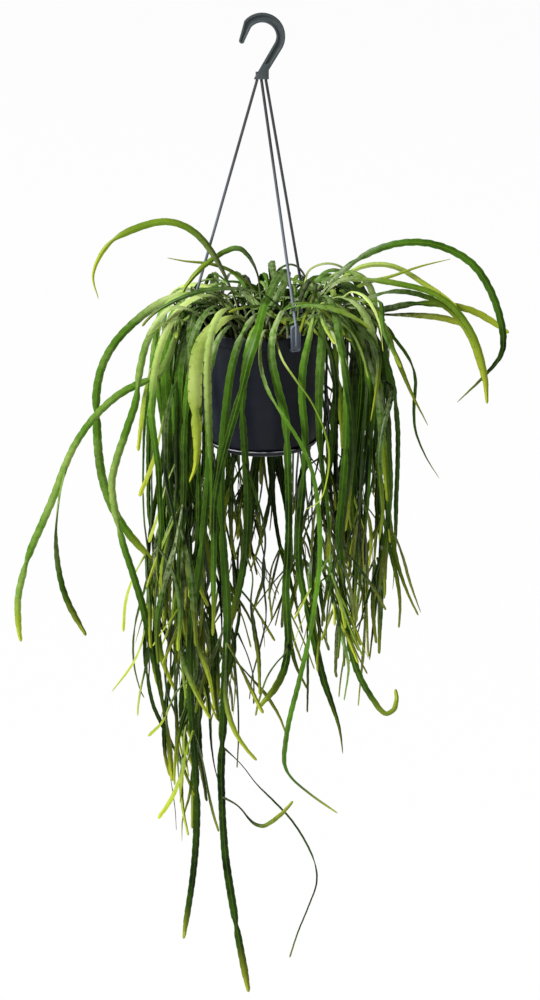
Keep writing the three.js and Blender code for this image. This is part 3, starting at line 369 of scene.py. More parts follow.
start_piece()
bpy.ops.mesh.primitive_ico_sphere_add(subdivisions=1, radius=1)
crumb_model = bpy.context.object
crumb_points = np.array([vertex.co[:] for vertex in crumb_model.data.vertices])
crumb_faces = [list(face.vertices) for face in crumb_model.data.polygons]
bpy.data.objects.remove(crumb_model)


def piece_of(name, points, faces):
    """A piece from points in millimetres and faces."""
    mesh = bpy.data.meshes.new(name)
    mesh.from_pydata((np.concatenate(points) * MM).tolist(), [], faces)
    piece = bpy.data.objects.new(name, mesh)
    bpy.context.scene.collection.objects.link(piece)
    return piece


def scatter_crumbs(name, count, smallest, largest):
    """Copies of one rough crumb, each turned and squashed its own way, lying on the compost."""
    points, faces = [], []
    for _ in range(count):
        turn = soil_random.uniform(0, 2 * math.pi)
        far = CRUMB_FIELD_RADIUS * math.sqrt(soil_random.uniform(0, 1))
        size = soil_random.uniform(smallest, largest)
        stretch = np.array([1, soil_random.uniform(0.45, 0.9), soil_random.uniform(0.35, 0.7)])
        rough = crumb_points * stretch * size * soil_random.uniform(0.75, 1.15, (len(crumb_points), 1))
        spin = soil_random.uniform(0, 2 * math.pi)
        turned = rough.copy()
        turned[:, 0] = rough[:, 0] * math.cos(spin) - rough[:, 1] * math.sin(spin)
        turned[:, 1] = rough[:, 0] * math.sin(spin) + rough[:, 1] * math.cos(spin)
        place = [far * math.cos(turn), far * math.sin(turn), SOIL_TOP - 0.5 + 0.3 * size]
        faces += [[corner + len(points) * len(crumb_points) for corner in face] for face in crumb_faces]
        points.append(turned + place)
    return piece_of(name, points, faces)


def earthy(name, dark, light, scale, roughness):
    """A rough material mottled between two colours."""
    material = bpy.data.materials.new(name)
    material.use_nodes = True
    tree = material.node_tree
    mottle = value_noise(tree, scale, 5, 0.65)
    blend = add_node(tree, "ValToRGB", {"Fac": mottle})
    for stop, position, colour in zip(blend.color_ramp.elements, (0.38, 0.66), (dark, light)):
        stop.position = position
        stop.color = (*colour, 1)
    bump = add_node(tree, "Bump", {"Distance": 0.0008, "Strength": 0.9, "Height": mottle})
    shader = tree.nodes["Principled BSDF"].inputs
    feed(tree, shader["Roughness"], roughness)
    feed(tree, shader["Specular IOR Level"], 0.2)
    feed(tree, shader["Base Color"], blend.outputs["Color"])
    feed(tree, shader["Normal"], bump.outputs["Normal"])
    return material


compost_mix = earthy("compost_mix", (0.012, 0.007, 0.004), (0.075, 0.045, 0.025), 320, 0.95)
soil.data.materials.append(compost_mix)
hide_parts("soil")
bark_crumbs = scatter_crumbs("bark_crumbs", 420, 0.9, 2.6)
bark_crumbs.data.materials.append(compost_mix)
perlite = scatter_crumbs("perlite_grains", 46, 0.7, 1.5)
perlite.data.materials.append(earthy("perlite", (0.45, 0.43, 0.39), (0.75, 0.73, 0.68), 900, 0.9))
for piece in (soil, bark_crumbs, perlite):
    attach(piece, "root")

# Hook: one moulding in grey-green plastic, a question mark of I section with hollowed faces.
# Its foot is solid and has three sockets, one for each rod.
HOOK_INNER_RADIUS = 15.25
HOOK_OUTER_RADIUS = 24.7
HOOK_DEPTH = 7
HOOK_RECESS = 1.4
HOOK_BORDER = 2
HOOK_TIP = (-21.5, -19.5)
HOOK_TIP_RADIUS = 3
YOKE_LEFT = -8.6
YOKE_RIGHT = 7.3
YOKE_SHOULDER = -50.5
YOKE_BOTTOM = -60.5
RECESS_END = -46
ARM_ANGLE = 140
SHANK_ANGLE = -32
SOCKET_PITCH = 4.8
SOCKET_RADIUS = 1.95
SOCKET_DEPTH = 8
SOCKET_CENTRE = (YOKE_LEFT + YOKE_RIGHT) / 2


def arc(centre, radius, first, last, steps):
    """Points along an arc in the hook's plane, angles in degrees from +X towards +Z."""
    angles = np.radians(np.linspace(first, last, steps + 1))
    return [(centre[0] + radius * math.cos(a), centre[1] + radius * math.sin(a)) for a in angles]


def plate(corners, thickness):
    """A plate, still in edit mode: an outline of corners in millimetres, drawn out to its thickness."""
    start_piece()
    bpy.ops.mesh.primitive_circle_add(vertices=len(corners), radius=0.02, fill_type="NGON")
    piece = bpy.context.object
    for vertex, corner in zip(piece.data.vertices, corners):
        vertex.co = [distance * MM for distance in corner]
    bpy.ops.object.mode_set(mode="EDIT")
    bpy.ops.mesh.select_all(action="SELECT")
    bpy.ops.mesh.extrude_region_move(
        TRANSFORM_OT_translate={"value": [distance * MM for distance in thickness]})
    face_outwards()
    return piece


hook_centre = (0, -HOOK_INNER_RADIUS)
hook_outline = [
    *arc(hook_centre, HOOK_OUTER_RADIUS, ARM_ANGLE, SHANK_ANGLE, 36),
    (YOKE_RIGHT, YOKE_SHOULDER), (YOKE_RIGHT, YOKE_BOTTOM), (YOKE_LEFT, YOKE_BOTTOM),
    *arc(hook_centre, HOOK_INNER_RADIUS, SHANK_ANGLE, ARM_ANGLE, 36),
    *arc(HOOK_TIP, HOOK_TIP_RADIUS, 0, -180, 10),
]
hook = plate([(x, -HOOK_DEPTH / 2, z) for x, z in hook_outline], (0, HOOK_DEPTH, 0))
hook.name = "hanging_hook"
bpy.ops.mesh.bisect(plane_co=(0, 0, RECESS_END * MM), plane_no=(0, 0, 1))


def select_faces(piece, chosen):
    """Selects the faces of a piece that a test picks by their middle and normal."""
    pick(piece)
    bpy.ops.object.mode_set(mode="EDIT")
    bpy.ops.mesh.select_mode(type="FACE")
    bpy.ops.mesh.select_all(action="DESELECT")
    bpy.ops.object.mode_set(mode="OBJECT")
    for face in piece.data.polygons:
        face.select = chosen(face.center, face.normal)
    bpy.ops.object.mode_set(mode="EDIT")


for side in (-1, 1):
    select_faces(hook, lambda middle, normal: normal.y * side > 0.9 and middle.z > (RECESS_END + 1) * MM)
    bpy.ops.mesh.inset(thickness=HOOK_BORDER * MM, depth=0)
    bpy.ops.mesh.inset(thickness=0.5 * MM, depth=-HOOK_RECESS * MM)
apply_place(hook)
socket_places = [SOCKET_CENTRE + step * SOCKET_PITCH for step in (-1, 0, 1)]
cut_away(hook, [
    drill(x, 0, SOCKET_RADIUS, YOKE_BOTTOM - 2, YOKE_BOTTOM + SOCKET_DEPTH) for x in socket_places])
round_edges(hook, 0.45, 3, 34)
hook.data.materials.append(moulded_plastic(
    "grey_green_hook_plastic", (0.043, 0.053, 0.056), (0.14, 0.15, 0.15), 0.4, 0.32))
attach(hook, "root")
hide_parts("hook")

# Hangers: three semi-rigid mouldings, each a thin rod that ends in a clip. The clip is a ribbed
# paddle outside the pot, with a finger over the rim and a toe under its band, snapped on by hand.
SEAT_GAP = 0.3
ROD_RADIUS = 1.6
ROD_SIDES = 14
PADDLE_THICKNESS = 3
PADDLE_INSIDE = RIM_RADIUS + SEAT_GAP
PADDLE_OUTSIDE = PADDLE_INSIDE + PADDLE_THICKNESS
PADDLE_TOP = RIM_TOP + 14.2
PADDLE_BOTTOM = PADDLE_TOP - 29
PADDLE_HALF_WIDTH = 6
PADDLE_CORNER = 4
PADDLE_BORDER = 1.3
FINGER_HALF_WIDTH = 5
FINGER_END = 70.3
FINGER_THICKNESS = 1.8
ROD_BEND = YOKE_BOTTOM - 1.6
HANGERS = {"hanger_left": (socket_places[0], -92), "hanger_front": (socket_places[1], 28),
           "hanger_back": (socket_places[2], 144)}


def outward(azimuth):
    """The level direction at an azimuth in degrees, counted from the front towards the right."""
    turn = math.radians(azimuth - 90)
    return np.array([math.cos(turn), math.sin(turn), 0.0])


def block(inner, low, outer, high):
    """A bar as wide as a finger, between two distances out and two heights in millimetres."""
    start_piece()
    bpy.ops.mesh.primitive_cube_add(size=1)
    piece = bpy.context.object
    low_corner, high_corner = (inner, -FINGER_HALF_WIDTH, low), (outer, FINGER_HALF_WIDTH, high)
    piece.scale = [(b - a) * MM for a, b in zip(low_corner, high_corner)]
    piece.location = [(a + b) / 2 * MM for a, b in zip(low_corner, high_corner)]
    return apply_place(piece)


def rod(start, end, radius):
    """A round bar between two points, sizes in millimetres."""
    start_piece()
    start, end = np.array(start, float), np.array(end, float)
    along = (end - start) / np.linalg.norm(end - start)
    bpy.ops.mesh.primitive_cylinder_add(
        vertices=ROD_SIDES, radius=radius * MM, depth=float(np.linalg.norm(end - start)) * MM,
        location=(start + end) / 2 * MM,
        rotation=(0, math.acos(along[2]), math.atan2(along[1], along[0])))
    return apply_place(bpy.context.object)


def weld(name, parts):
    """Joins closed parts that overlap into one closed moulding."""
    whole = parts[0]
    for part in parts[1:]:
        combine(whole, part, "UNION")
    whole.name = name
    return whole


def paint_highlight_by_height(material, top, bottom, top_colour, bottom_colour):
    """Lets a plastic's colour change between two heights in metres, and most so in front: a painted
    highlight, used with the lighter colour below.
    """
    tree = material.node_tree
    surface = next(node for node in tree.nodes if node.type == "GROUP")
    place = add_node(tree, "SeparateXYZ", {0: object_place(tree)}).outputs
    front = ramp(tree, place[1], 0.02, -0.005, bottom=0.25)
    amount = figure(tree, "MULTIPLY", ramp(tree, place[2], top, bottom), front)
    feed(tree, surface.inputs["Plastic Colour"], mix_colour(tree, amount, top_colour, bottom_colour))


# The clip faces +X here, and each copy is turned to its place on the rim
corner_side = PADDLE_HALF_WIDTH - PADDLE_CORNER
paddle_outline = [
    (-PADDLE_HALF_WIDTH + 0.8, PADDLE_BOTTOM), (PADDLE_HALF_WIDTH - 0.8, PADDLE_BOTTOM),
    *arc((corner_side, PADDLE_TOP - PADDLE_CORNER), PADDLE_CORNER, 0, 90, 8),
    *arc((-corner_side, PADDLE_TOP - PADDLE_CORNER), PADDLE_CORNER, 90, 180, 8),
]
paddle = plate([(PADDLE_INSIDE, y, z) for y, z in paddle_outline], (PADDLE_THICKNESS, 0, 0))
select_faces(paddle, lambda middle, normal: normal.x > 0.9)
bpy.ops.mesh.inset(thickness=PADDLE_BORDER * MM, depth=0)
bpy.ops.mesh.inset(thickness=0.3 * MM, depth=-1.1 * MM)
apply_place(paddle)
round_edges(paddle, 0.3, 2, 38)
over_rim = RIM_TOP + SEAT_GAP
under_band = BAND_BOTTOM - SEAT_GAP
clip_model = weld("rim_clip", [
    paddle,
    block(FINGER_END, over_rim, PADDLE_INSIDE + 1, over_rim + FINGER_THICKNESS),
    block(FINGER_END, RIM_TOP - 4.5, 71.9, over_rim + 1),
    block(SHOULDER_RADIUS + 1.4, under_band - FINGER_THICKNESS, PADDLE_INSIDE + 1, under_band),
])
rod_plastic = moulded_plastic(
    "dark_grey_rod_plastic", (0.040, 0.038, 0.043), (0.16, 0.16, 0.17), 0.35, 0.22, 0.4)
# Painted highlight: the rods turn light grey-blue towards their clips, most on their front.
paint_highlight_by_height(rod_plastic, -0.13, -0.33, (0.036, 0.034, 0.040), (0.16, 0.19, 0.235))
for name, (socket_x, azimuth) in HANGERS.items():
    out = outward(azimuth)
    clip = clip_model.copy()
    clip.data = clip_model.data.copy()
    bpy.context.scene.collection.objects.link(clip)
    clip.rotation_euler = (0, 0, math.atan2(out[1], out[0]))
    apply_place(clip)
    bend = [socket_x, 0, ROD_BEND]
    foot = [*(out[:2] * (PADDLE_OUTSIDE - 0.4)), PADDLE_TOP - 1]
    start_piece()
    bpy.ops.mesh.primitive_uv_sphere_add(
        segments=ROD_SIDES, ring_count=8, radius=ROD_RADIUS * 1.001 * MM, location=np.array(bend) * MM)
    knuckle = apply_place(bpy.context.object)
    hanger = weld(name + "_moulding", [
        clip,
        rod(foot, [foot[0], foot[1], PADDLE_TOP - 22], ROD_RADIUS * 0.98),
        rod(bend, foot, ROD_RADIUS),
        knuckle,
        rod([socket_x, 0, YOKE_BOTTOM + 7.5], bend, ROD_RADIUS * 0.99),
    ])
    round_edges(hanger, 0, 0, 38)
    hanger.data.materials.clear()
    hanger.data.materials.append(rod_plastic)
    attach(hanger, "root")
    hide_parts(name)
bpy.data.objects.remove(clip_model)

# Stems that can be told apart in the photograph, each as given points in millimetres from
# the compost to the tip. They are the same routes that the imported solids follow.
STEM_ROUTES = [
    dict(name="stem_upper_left", half=4.2, ending="pointed", young=True, points=[
        (-21, 0, -345), (-25, 0, -325), (-34, -4, -292), (-55, -8, -248), (-76, -12, -223),
        (-102, -15, -212), (-136, -20, -219), (-167, -24, -238), (-183, -26, -271),
        (-178, -27, -296),
    ]),
    dict(name="stem_small_arch", half=3.2, ending="blunt", points=[
        (6, 15, -344), (0, 15, -303), (-7, 12, -267), (-27, 8, -245), (-55, 2, -255),
        (-79, -4, -274), (-90, -8, -293),
    ]),
    dict(name="stem_upper_shoot", half=3.4, ending="pointed", young=True, points=[
        (0, 25, -341), (-5, 22, -310), (-14, 20, -294), (-44, 12, -270), (-83, 2, -261),
        (-105, -2, -256),
    ]),
    dict(name="stem_left_long", half=4.8, ending="blunt", points=[
        (-41, 10, -343), (-55, 5, -317), (-73, 2, -309), (-106, -5, -311), (-139, -12, -331),
        (-170, -18, -365), (-183, -22, -403), (-183, -24, -449), (-179, -26, -500),
        (-164, -28, -546), (-146, -29, -574), (-123, -30, -601),
    ]),
    dict(name="stem_left_outer", half=4.6, ending="blunt", points=[
        (-44, -20, -340), (-62, -24, -311), (-81, -32, -321), (-90, -38, -351), (-107, -40, -381),
        (-134, -41, -392), (-165, -42, -413), (-201, -42, -459), (-229, -41, -523),
        (-260, -40, -594), (-275, -40, -657), (-272, -40, -693),
    ], branches=[
        dict(half=4.4, ending="blunt", points=[
            (-215, -41, -490), (-224, -44, -527), (-227, -44, -569), (-225, -42, -605),
            (-215, -40, -648), (-198, -36, -687),
        ]),
    ]),
    dict(name="stem_left_inner", half=5, ending="blunt", points=[
        (-55, -30, -339), (-76, -38, -308), (-100, -42, -302), (-117, -46, -319),
        (-132, -50, -356), (-138, -52, -403), (-152, -54, -442), (-167, -55, -492),
        (-164, -56, -527), (-145, -56, -600), (-131, -55, -660), (-114, -52, -757),
    ]),
    dict(name="stem_right_arch", half=4.6, ending="pointed", points=[
        (42, 10, -343), (55, 8, -312), (74, 5, -283), (103, 0, -258), (135, -5, -241),
        (167, -8, -236), (200, -10, -243), (231, -12, -263), (250, -13, -294), (262, -14, -332),
        (262, -14, -360), (245, -14, -385), (215, -13, -417),
    ]),
    dict(name="stem_right_upper", half=4.4, ending="blunt", young=True, points=[
        (55, -10, -342), (65, -10, -302), (85, -12, -280), (122, -15, -278), (157, -18, -283),
        (190, -20, -293), (216, -22, -314), (236, -24, -350), (246, -25, -382), (250, -25, -416),
    ]),
    dict(name="stem_right_middle", half=4.4, ending="blunt", points=[
        (62, 8, -341), (81, 6, -326), (110, 2, -314), (145, 0, -301), (180, -2, -303),
        (209, -4, -317), (231, -4, -344), (244, -3, -374), (250, -2, -401),
    ]),
    dict(name="stem_right_reach", half=4.4, ending="blunt", points=[
        (57, 28, -344), (80, 26, -332), (104, 24, -331), (131, 22, -328), (164, 18, -320),
        (208, 15, -320), (243, 12, -328), (281, 10, -351),
    ], branches=[
        dict(half=4.2, ending="blunt", points=[
            (115, 23, -331), (151, 28, -335), (191, 31, -337), (227, 31, -345), (244, 31, -356),
        ]),
    ]),
    dict(name="stem_right_shoot", half=2.8, ending="pointed", young=True, points=[
        (42, 40, -338), (62, 34, -320), (84, 28, -309), (128, 20, -289), (180, 14, -266),
        (206, 12, -259),
    ]),
    dict(name="stem_right_thin", half=3.4, ending="blunt", young=True, points=[
        (51, 46, -339), (66, 42, -315), (86, 36, -293), (112, 28, -275), (141, 22, -274),
        (167, 16, -288), (194, 12, -304), (212, 10, -318),
    ]),
    dict(name="stem_right_pale", half=4, ending="pointed", young=True, points=[
        (63, -15, -343), (94, -18, -320), (120, -20, -317), (138, -24, -332), (146, -28, -351),
        (165, -32, -398), (180, -34, -432), (188, -34, -446),
    ]),
    dict(name="stem_right_wiry", half=2.2, ending="pointed", points=[
        (68, 15, -347), (93, 12, -328), (117, 8, -331), (139, 2, -350), (157, -2, -370),
        (170, -5, -392), (173, -6, -417), (171, -8, -452), (185, -10, -491), (201, -10, -517),
    ]),
    dict(name="stem_front_longest", half=4.9, ending="blunt", points=[
        (0, -10, -340), (0, -30, -312), (-11, -60, -311), (-24, -84, -329), (-33, -92, -360),
        (-40, -93, -419), (-44, -92, -490), (-41, -88, -576), (-38, -82, -650), (-42, -76, -724),
        (-45, -70, -801), (-46, -66, -878), (-45, -63, -936), (-35, -60, -1016), (-16, -58, -1130),
    ], branches=[
        dict(half=1.3, ending="root", points=[
            (-44, -70, -798), (-21, -64, -836), (-3, -60, -863), (32, -54, -904), (58, -48, -958),
            (62, -46, -990), (44, -42, -1049), (32, -40, -1094),
        ]),
        dict(half=3.2, ending="blunt", points=[
            (-46, -66, -871), (-30, -70, -880), (-3, -72, -907), (20, -73, -894), (36, -74, -875),
        ]),
    ]),
    dict(name="stem_front_bright", half=6.6, ending="pointed", young=True, points=[
        (-5, -25, -338), (-24, -44, -312), (-48, -64, -312), (-68, -80, -329), (-76, -87, -350),
        (-78, -91, -391), (-75, -92, -436), (-78, -92, -465), (-85, -92, -483),
    ]),
    dict(name="stem_front_left_long", half=5, ending="blunt", points=[
        (-18, -35, -340), (-33, -60, -316), (-48, -82, -328), (-57, -94, -368), (-57, -96, -432),
        (-61, -94, -504), (-69, -88, -576), (-78, -82, -650), (-81, -76, -737), (-77, -72, -812),
        (-75, -70, -888), (-80, -68, -966), (-92, -66, -1056),
    ]),
    dict(name="stem_front_middle", half=4.6, ending="blunt", points=[
        (8, -35, -341), (-4, -62, -315), (-13, -82, -324), (-17, -86, -346), (-22, -88, -387),
        (-21, -88, -438), (-17, -85, -507), (-20, -82, -579), (-29, -80, -627), (-41, -78, -675),
    ]),
    dict(name="stem_front_slanted", half=4.8, ending="blunt", points=[
        (15, -48, -343), (3, -68, -320), (-1, -86, -334), (4, -92, -369), (27, -96, -410),
        (49, -98, -448), (60, -97, -488), (65, -90, -576), (55, -84, -655), (42, -80, -723),
        (28, -78, -791), (27, -77, -832), (48, -76, -858), (86, -76, -889),
    ]),
    dict(name="stem_front_crossing", half=4.2, ending="pointed", young=True, points=[
        (26, -52, -344), (11, -74, -323), (19, -92, -348), (46, -104, -382), (64, -108, -421),
        (69, -108, -448), (64, -107, -485), (55, -106, -505), (43, -106, -511),
    ]),
    dict(name="stem_front_right_inner", half=4.8, ending="blunt", points=[
        (30, -35, -340), (26, -56, -301), (18, -80, -314), (15, -87, -339), (20, -88, -371),
        (28, -88, -404), (32, -84, -473), (33, -80, -556), (29, -76, -628), (32, -74, -677),
        (23, -72, -726), (-1, -70, -762),
    ]),
    dict(name="stem_front_right_pale", half=4.4, ending="pointed", points=[
        (48, -45, -340), (56, -62, -306), (51, -84, -321), (43, -89, -358), (42, -90, -399),
        (46, -90, -437), (44, -88, -483), (39, -84, -543), (39, -82, -590), (51, -80, -656),
        (67, -78, -724), (84, -76, -781), (89, -76, -817),
    ]),
    dict(name="stem_front_right_outer", half=4.6, ending="blunt", points=[
        (57, -28, -342), (69, -54, -315), (81, -72, -332), (89, -77, -362), (91, -78, -418),
        (88, -78, -487), (83, -76, -557), (89, -75, -629), (100, -74, -695), (117, -72, -738),
        (142, -70, -769), (150, -70, -754), (149, -70, -738),
    ]),
]

# The rest of the plant grows by the rule that placed its solids: a root in the compost, a rise,
# an arch over the rim and a long hang, with side stems and a branch. Every draw is seeded.
STALK_HALF_WIDTH = 2.2
STALK_LENGTH = 26
STALK_DEPTH = 12
STALK_WIDENING = 90
BRANCH_HALF_WIDTH = 1.9
BRANCH_WIDENING = 60
ROOT_NODE_RISE = 5
BLUNT_END = 12
POINTED_END = 95
ROUTE_STEP = 4
LONGEST_SECTION = 31
SHORTEST_SECTION = 11
SECTION_BEND = 8
SPRAY_COUNT = 27
SPRAY_LAYERS = [
    dict(root_radius=53, hang_radius=88, lift=74, rise=12, trail=1.05),
    dict(root_radius=36, hang_radius=104, lift=66, rise=9, trail=1),
    dict(root_radius=17, hang_radius=122, lift=58, rise=6, trail=0.8),
]
FRONT_GAP = 46
ROOT_PITCH = 13
ROOT_LIMIT = 61


class Draws:
    """A small seeded generator, so that every run grows the same plant."""

    def __init__(self, seed):
        self.seed = seed

    def share(self):
        self.seed = self.seed * 16807 % 2147483647
        return self.seed / 2147483647

    def between(self, low, high):
        return low + (high - low) * self.share()

    def ending(self):
        return "pointed" if self.share() < 0.3 else "blunt"

    def traits(self, thinnest, thickest):
        """Half width, ending and twist of a stem that the photograph doesn't single out."""
        return dict(half=self.between(thinnest, thickest), ending=self.ending(),
                    twist=self.between(-0.8, 0.8), young=False)

    def swing(self):
        """How far a stem sways aside, and where in its sway it sets off."""
        return self.between(8, 20), self.between(0, 6)

    def trail(self, azimuth):
        """How far down a stem hangs: longest on the left, shortest on the right."""
        leftness = 0.5 - 0.5 * math.sin(math.radians(azimuth))
        return 165 + 65 * leftness + (190 + 130 * leftness) * self.share()


def smoothstep(value, low, high):
    share = np.clip((value - low) / (high - low), 0, 1)
    return share * share * (3 - 2 * share)


def pitch_after(lift, share):
    return -math.pi / 2 + (lift + math.pi / 2) * math.exp(-(share ** 1.5))


def hanging_route(start, azimuth, lift, rise, reach, length, sway, phase):
    """Leaves start at the pitch lift, keeps it for its rise, and ends up hanging reach away."""
    lift_angle = math.radians(lift)
    unit_reach = 0.0
    share = 0.01
    while share < 4:
        unit_reach += 0.02 * math.cos(pitch_after(lift_angle, share))
        share += 0.02
    fall_length = reach / unit_reach
    out = outward(azimuth)
    aside = np.array([-out[1], out[0], 0.0])
    here = np.array(start, float)
    route = [here]
    run = ROUTE_STEP / 2
    while run < length:
        pitch = pitch_after(lift_angle, max(0, run - rise) / fall_length)
        here = here + out * (ROUTE_STEP * math.cos(pitch))
        here[2] += ROUTE_STEP * math.sin(pitch)
        swing = sway * (run / 300) * math.sin(run / 70 + phase)
        route.append(here + aside * swing + out * (0.4 * swing))
        run += ROUTE_STEP
    return np.array(route)


def smooth_route(points, steps=12):
    """A smooth curve through points, by the centripetal rule, with so many steps to a span."""
    points = np.array(points, float)
    count = len(points)
    route = []
    for i in range(steps * (count - 1) + 1):
        place = (count - 1) * (i / (steps * (count - 1)))
        k = int(math.floor(place))
        w = place - k
        if w == 0 and k == count - 1:
            k, w = count - 2, 1.0
        p0 = points[k - 1] if k > 0 else 2 * points[0] - points[1]
        p1, p2 = points[k], points[k + 1]
        p3 = points[k + 2] if k + 2 < count else 2 * points[-1] - points[-2]
        d0, d1, d2 = (((b - a) @ (b - a)) ** 0.25 for a, b in ((p0, p1), (p1, p2), (p2, p3)))
        d1 = 1.0 if d1 < 1e-4 else d1
        d0 = d1 if d0 < 1e-4 else d0
        d2 = d1 if d2 < 1e-4 else d2
        t1 = ((p1 - p0) / d0 - (p2 - p0) / (d0 + d1) + (p2 - p1) / d1) * d1
        t2 = ((p2 - p1) / d1 - (p3 - p1) / (d1 + d2) + (p3 - p2) / d2) * d1
        bend = -3 * p1 + 3 * p2 - 2 * t1 - t2
        route.append(p1 + t1 * w + bend * w ** 2 + (2 * p1 - 2 * p2 + t1 + t2) * w ** 3)
    return np.array(route)


def section_distances(route, first, end_stretch):
    """Where the solids' sections stand: closer together where the stem bends."""
    steps = np.diff(route, axis=0)
    lengths = np.linalg.norm(steps, axis=1)
    distances = [first]
    run = turn = 0.0
    for i in range(1, len(route) - 1):
        run += lengths[i - 1]
        if run > first:
            size = math.sqrt((steps[i - 1] @ steps[i - 1]) * (steps[i] @ steps[i]))
            turn += math.acos(min(1.0, max(-1.0, steps[i - 1] @ steps[i] / size)))
        span = run - distances[-1]
        if span > LONGEST_SECTION or (span > SHORTEST_SECTION and span * turn > SECTION_BEND):
            distances.append(run)
            turn = 0.0
    length = lengths.sum()
    while len(distances) > 1 and length - end_stretch - distances[-1] < SHORTEST_SECTION:
        distances.pop()
    if end_stretch > 0:
        distances.append(length - end_stretch)
    distances.append(length)
    return np.array(distances), length


def points_at(distances, runs, route):
    """The places on a route at some distances, where runs says how far along its points are."""
    return np.stack([np.interp(distances, runs, route[:, k]) for k in range(3)], axis=1)


def half_width_at(stem, distance):
    """Half a stem's width: slim on its stalk, then full, and narrower again towards its tip."""
    branch = stem["parent"] is not None
    start = min(BRANCH_HALF_WIDTH, stem["half"]) if branch else STALK_HALF_WIDTH
    widen_from, widening = (0, BRANCH_WIDENING) if branch else (STALK_LENGTH, STALK_WIDENING)
    spread = smoothstep(distance, widen_from, widen_from + widening)
    taper = POINTED_END if stem["ending"] == "pointed" else BLUNT_END
    closing = np.minimum(1, np.maximum(0, stem["length"] - distance) / taper)
    tip_share = 1 if stem["ending"] == "root" else 0.4
    return (start + (stem["half"] - start) * spread) * (tip_share + (1 - tip_share) * closing)


stems = []


def add_stem(spray, route, parent=None, parent_node=None, named=False, **traits):
    """Adds a stem with its nodes: a rooted one starts in its hole, a branch at its parent's node."""
    first = 0 if parent is not None else ROOT_NODE_RISE
    end_stretch = BLUNT_END if named and traits["ending"] == "blunt" else 0
    distances, length = section_distances(route, first, end_stretch)
    runs = np.concatenate([[0], np.cumsum(np.linalg.norm(np.diff(route, axis=0), axis=1))])
    nodes = points_at(distances, runs, route)
    if parent is None:
        nodes[0] = route[0] + [0, 0, first]
        nodes = np.vstack([route[0] - [0, 0, STALK_DEPTH], nodes])
        distances = np.concatenate([[-STALK_DEPTH], distances])
    stem = dict(spray=spray, parent=parent, parent_node=parent_node, length=length, named=named,
                distances=distances, nodes=nodes, **traits)
    stem["half_widths"] = half_width_at(stem, distances)
    stems.append(stem)
    return len(stems) - 1


def reach_to(start, azimuth, radius):
    """How far out from start a stem goes to hang at a radius from the pot's axis."""
    out = outward(azimuth)
    along = start[0] * out[0] + start[1] * out[1]
    off = start[0] ** 2 + start[1] ** 2 - along ** 2
    return max(16, math.sqrt(max(radius * radius - off, 100)) - along)


draws = Draws(90417)
roots = [np.array(stem["points"][0][:2], float) for stem in STEM_ROUTES]
sprays = []
for i in range(SPRAY_COUNT):
    layer = SPRAY_LAYERS[i % 3]
    azimuth = FRONT_GAP + (360 - 2 * FRONT_GAP) * (i + 0.5) / SPRAY_COUNT + draws.between(-6, 6)
    root_radius = layer["root_radius"] + draws.between(-5, 5)
    sprays.append((azimuth, layer))
    roots.append(outward(azimuth)[:2] * root_radius)
roots = np.array(roots)
for _ in range(80):
    for i in range(len(roots)):
        for k in range(i):
            apart = roots[i] - roots[k]
            distance = math.hypot(*apart)
            if distance < ROOT_PITCH:
                apart = apart * ((ROOT_PITCH - distance) * 0.25 / distance)
                roots[i] += apart
                roots[k] -= apart
    roots *= np.minimum(1, ROOT_LIMIT / np.linalg.norm(roots, axis=1))[:, None]


def add_named_stem(spray, route, young, **joint):
    """Adds a stem along given points, with only a slight twist."""
    return add_stem(spray, smooth_route(route["points"]), named=True, twist=draws.between(-0.08, 0.08),
                    half=route["half"], ending=route["ending"], young=young, **joint)


for named, root in zip(STEM_ROUTES, roots):
    spray, young = named["name"], named.get("young", False)
    named["points"][0] = (*root, SOIL_TOP)
    main = add_named_stem(spray, named, young)
    for branch in named.get("branches", []):
        nodes = stems[main]["nodes"]
        off_start = np.linalg.norm(nodes - branch["points"][0], axis=1)
        parent_node = 1 + int(np.argmin(off_start[1:-1]))
        branch["points"][0] = nodes[parent_node]
        add_named_stem(spray, branch, young, parent=main, parent_node=parent_node)

for i, (azimuth, layer) in enumerate(sprays):
    spray = f"spray_{i + 1:02d}"
    start = np.array([*roots[len(STEM_ROUTES) + i], SOIL_TOP])
    sideways = math.sin(math.radians(azimuth))
    widening = 1 + (0.1 if sideways > 0 else -0.04) * abs(sideways)
    hang = (layer["hang_radius"] + draws.between(-6, 10)) * widening
    lift = layer["lift"] + draws.between(-4, 4)
    rise = layer["rise"] + draws.between(-6, 8)
    reach = reach_to(start, azimuth, hang)
    traits = draws.traits(4.4, 5.6)
    length = rise + 1.1 * reach + 40 + layer["trail"] * draws.trail(azimuth)
    route = hanging_route(start, azimuth, lift, rise, reach, length, *draws.swing())
    main = add_stem(spray, route, **traits)
    nodes = stems[main]["nodes"]
    for k in range(1 if i % 3 == 2 else 2):
        parent_node = 2 + k % 2
        origin = nodes[parent_node]
        turned = azimuth + (1 if k % 2 == 0 else -1) * draws.between(12, 30) * (1 + 0.4 * k)
        reach = reach_to(origin, turned, hang + draws.between(-10, 22))
        traits = draws.traits(4.2, 5.6)
        side_lift = lift + draws.between(-16, 0)
        length = 1.1 * reach + 40 + layer["trail"] * draws.trail(turned)
        route = hanging_route(origin, turned, side_lift, 0.4 * rise, reach, length, *draws.swing())
        add_stem(spray, route, main, parent_node, **traits)
    if i % 2 == 0:
        parent_node = len(nodes) - 5
        turned = azimuth + (70 if draws.share() < 0.5 else -70)
        traits = draws.traits(3.6, 4.6)
        reach, length = draws.between(22, 34), draws.between(110, 170)
        route = hanging_route(nodes[parent_node], turned, -40, 0, reach, length, 6, 0)
        add_stem(spray, route, main, parent_node, **traits)

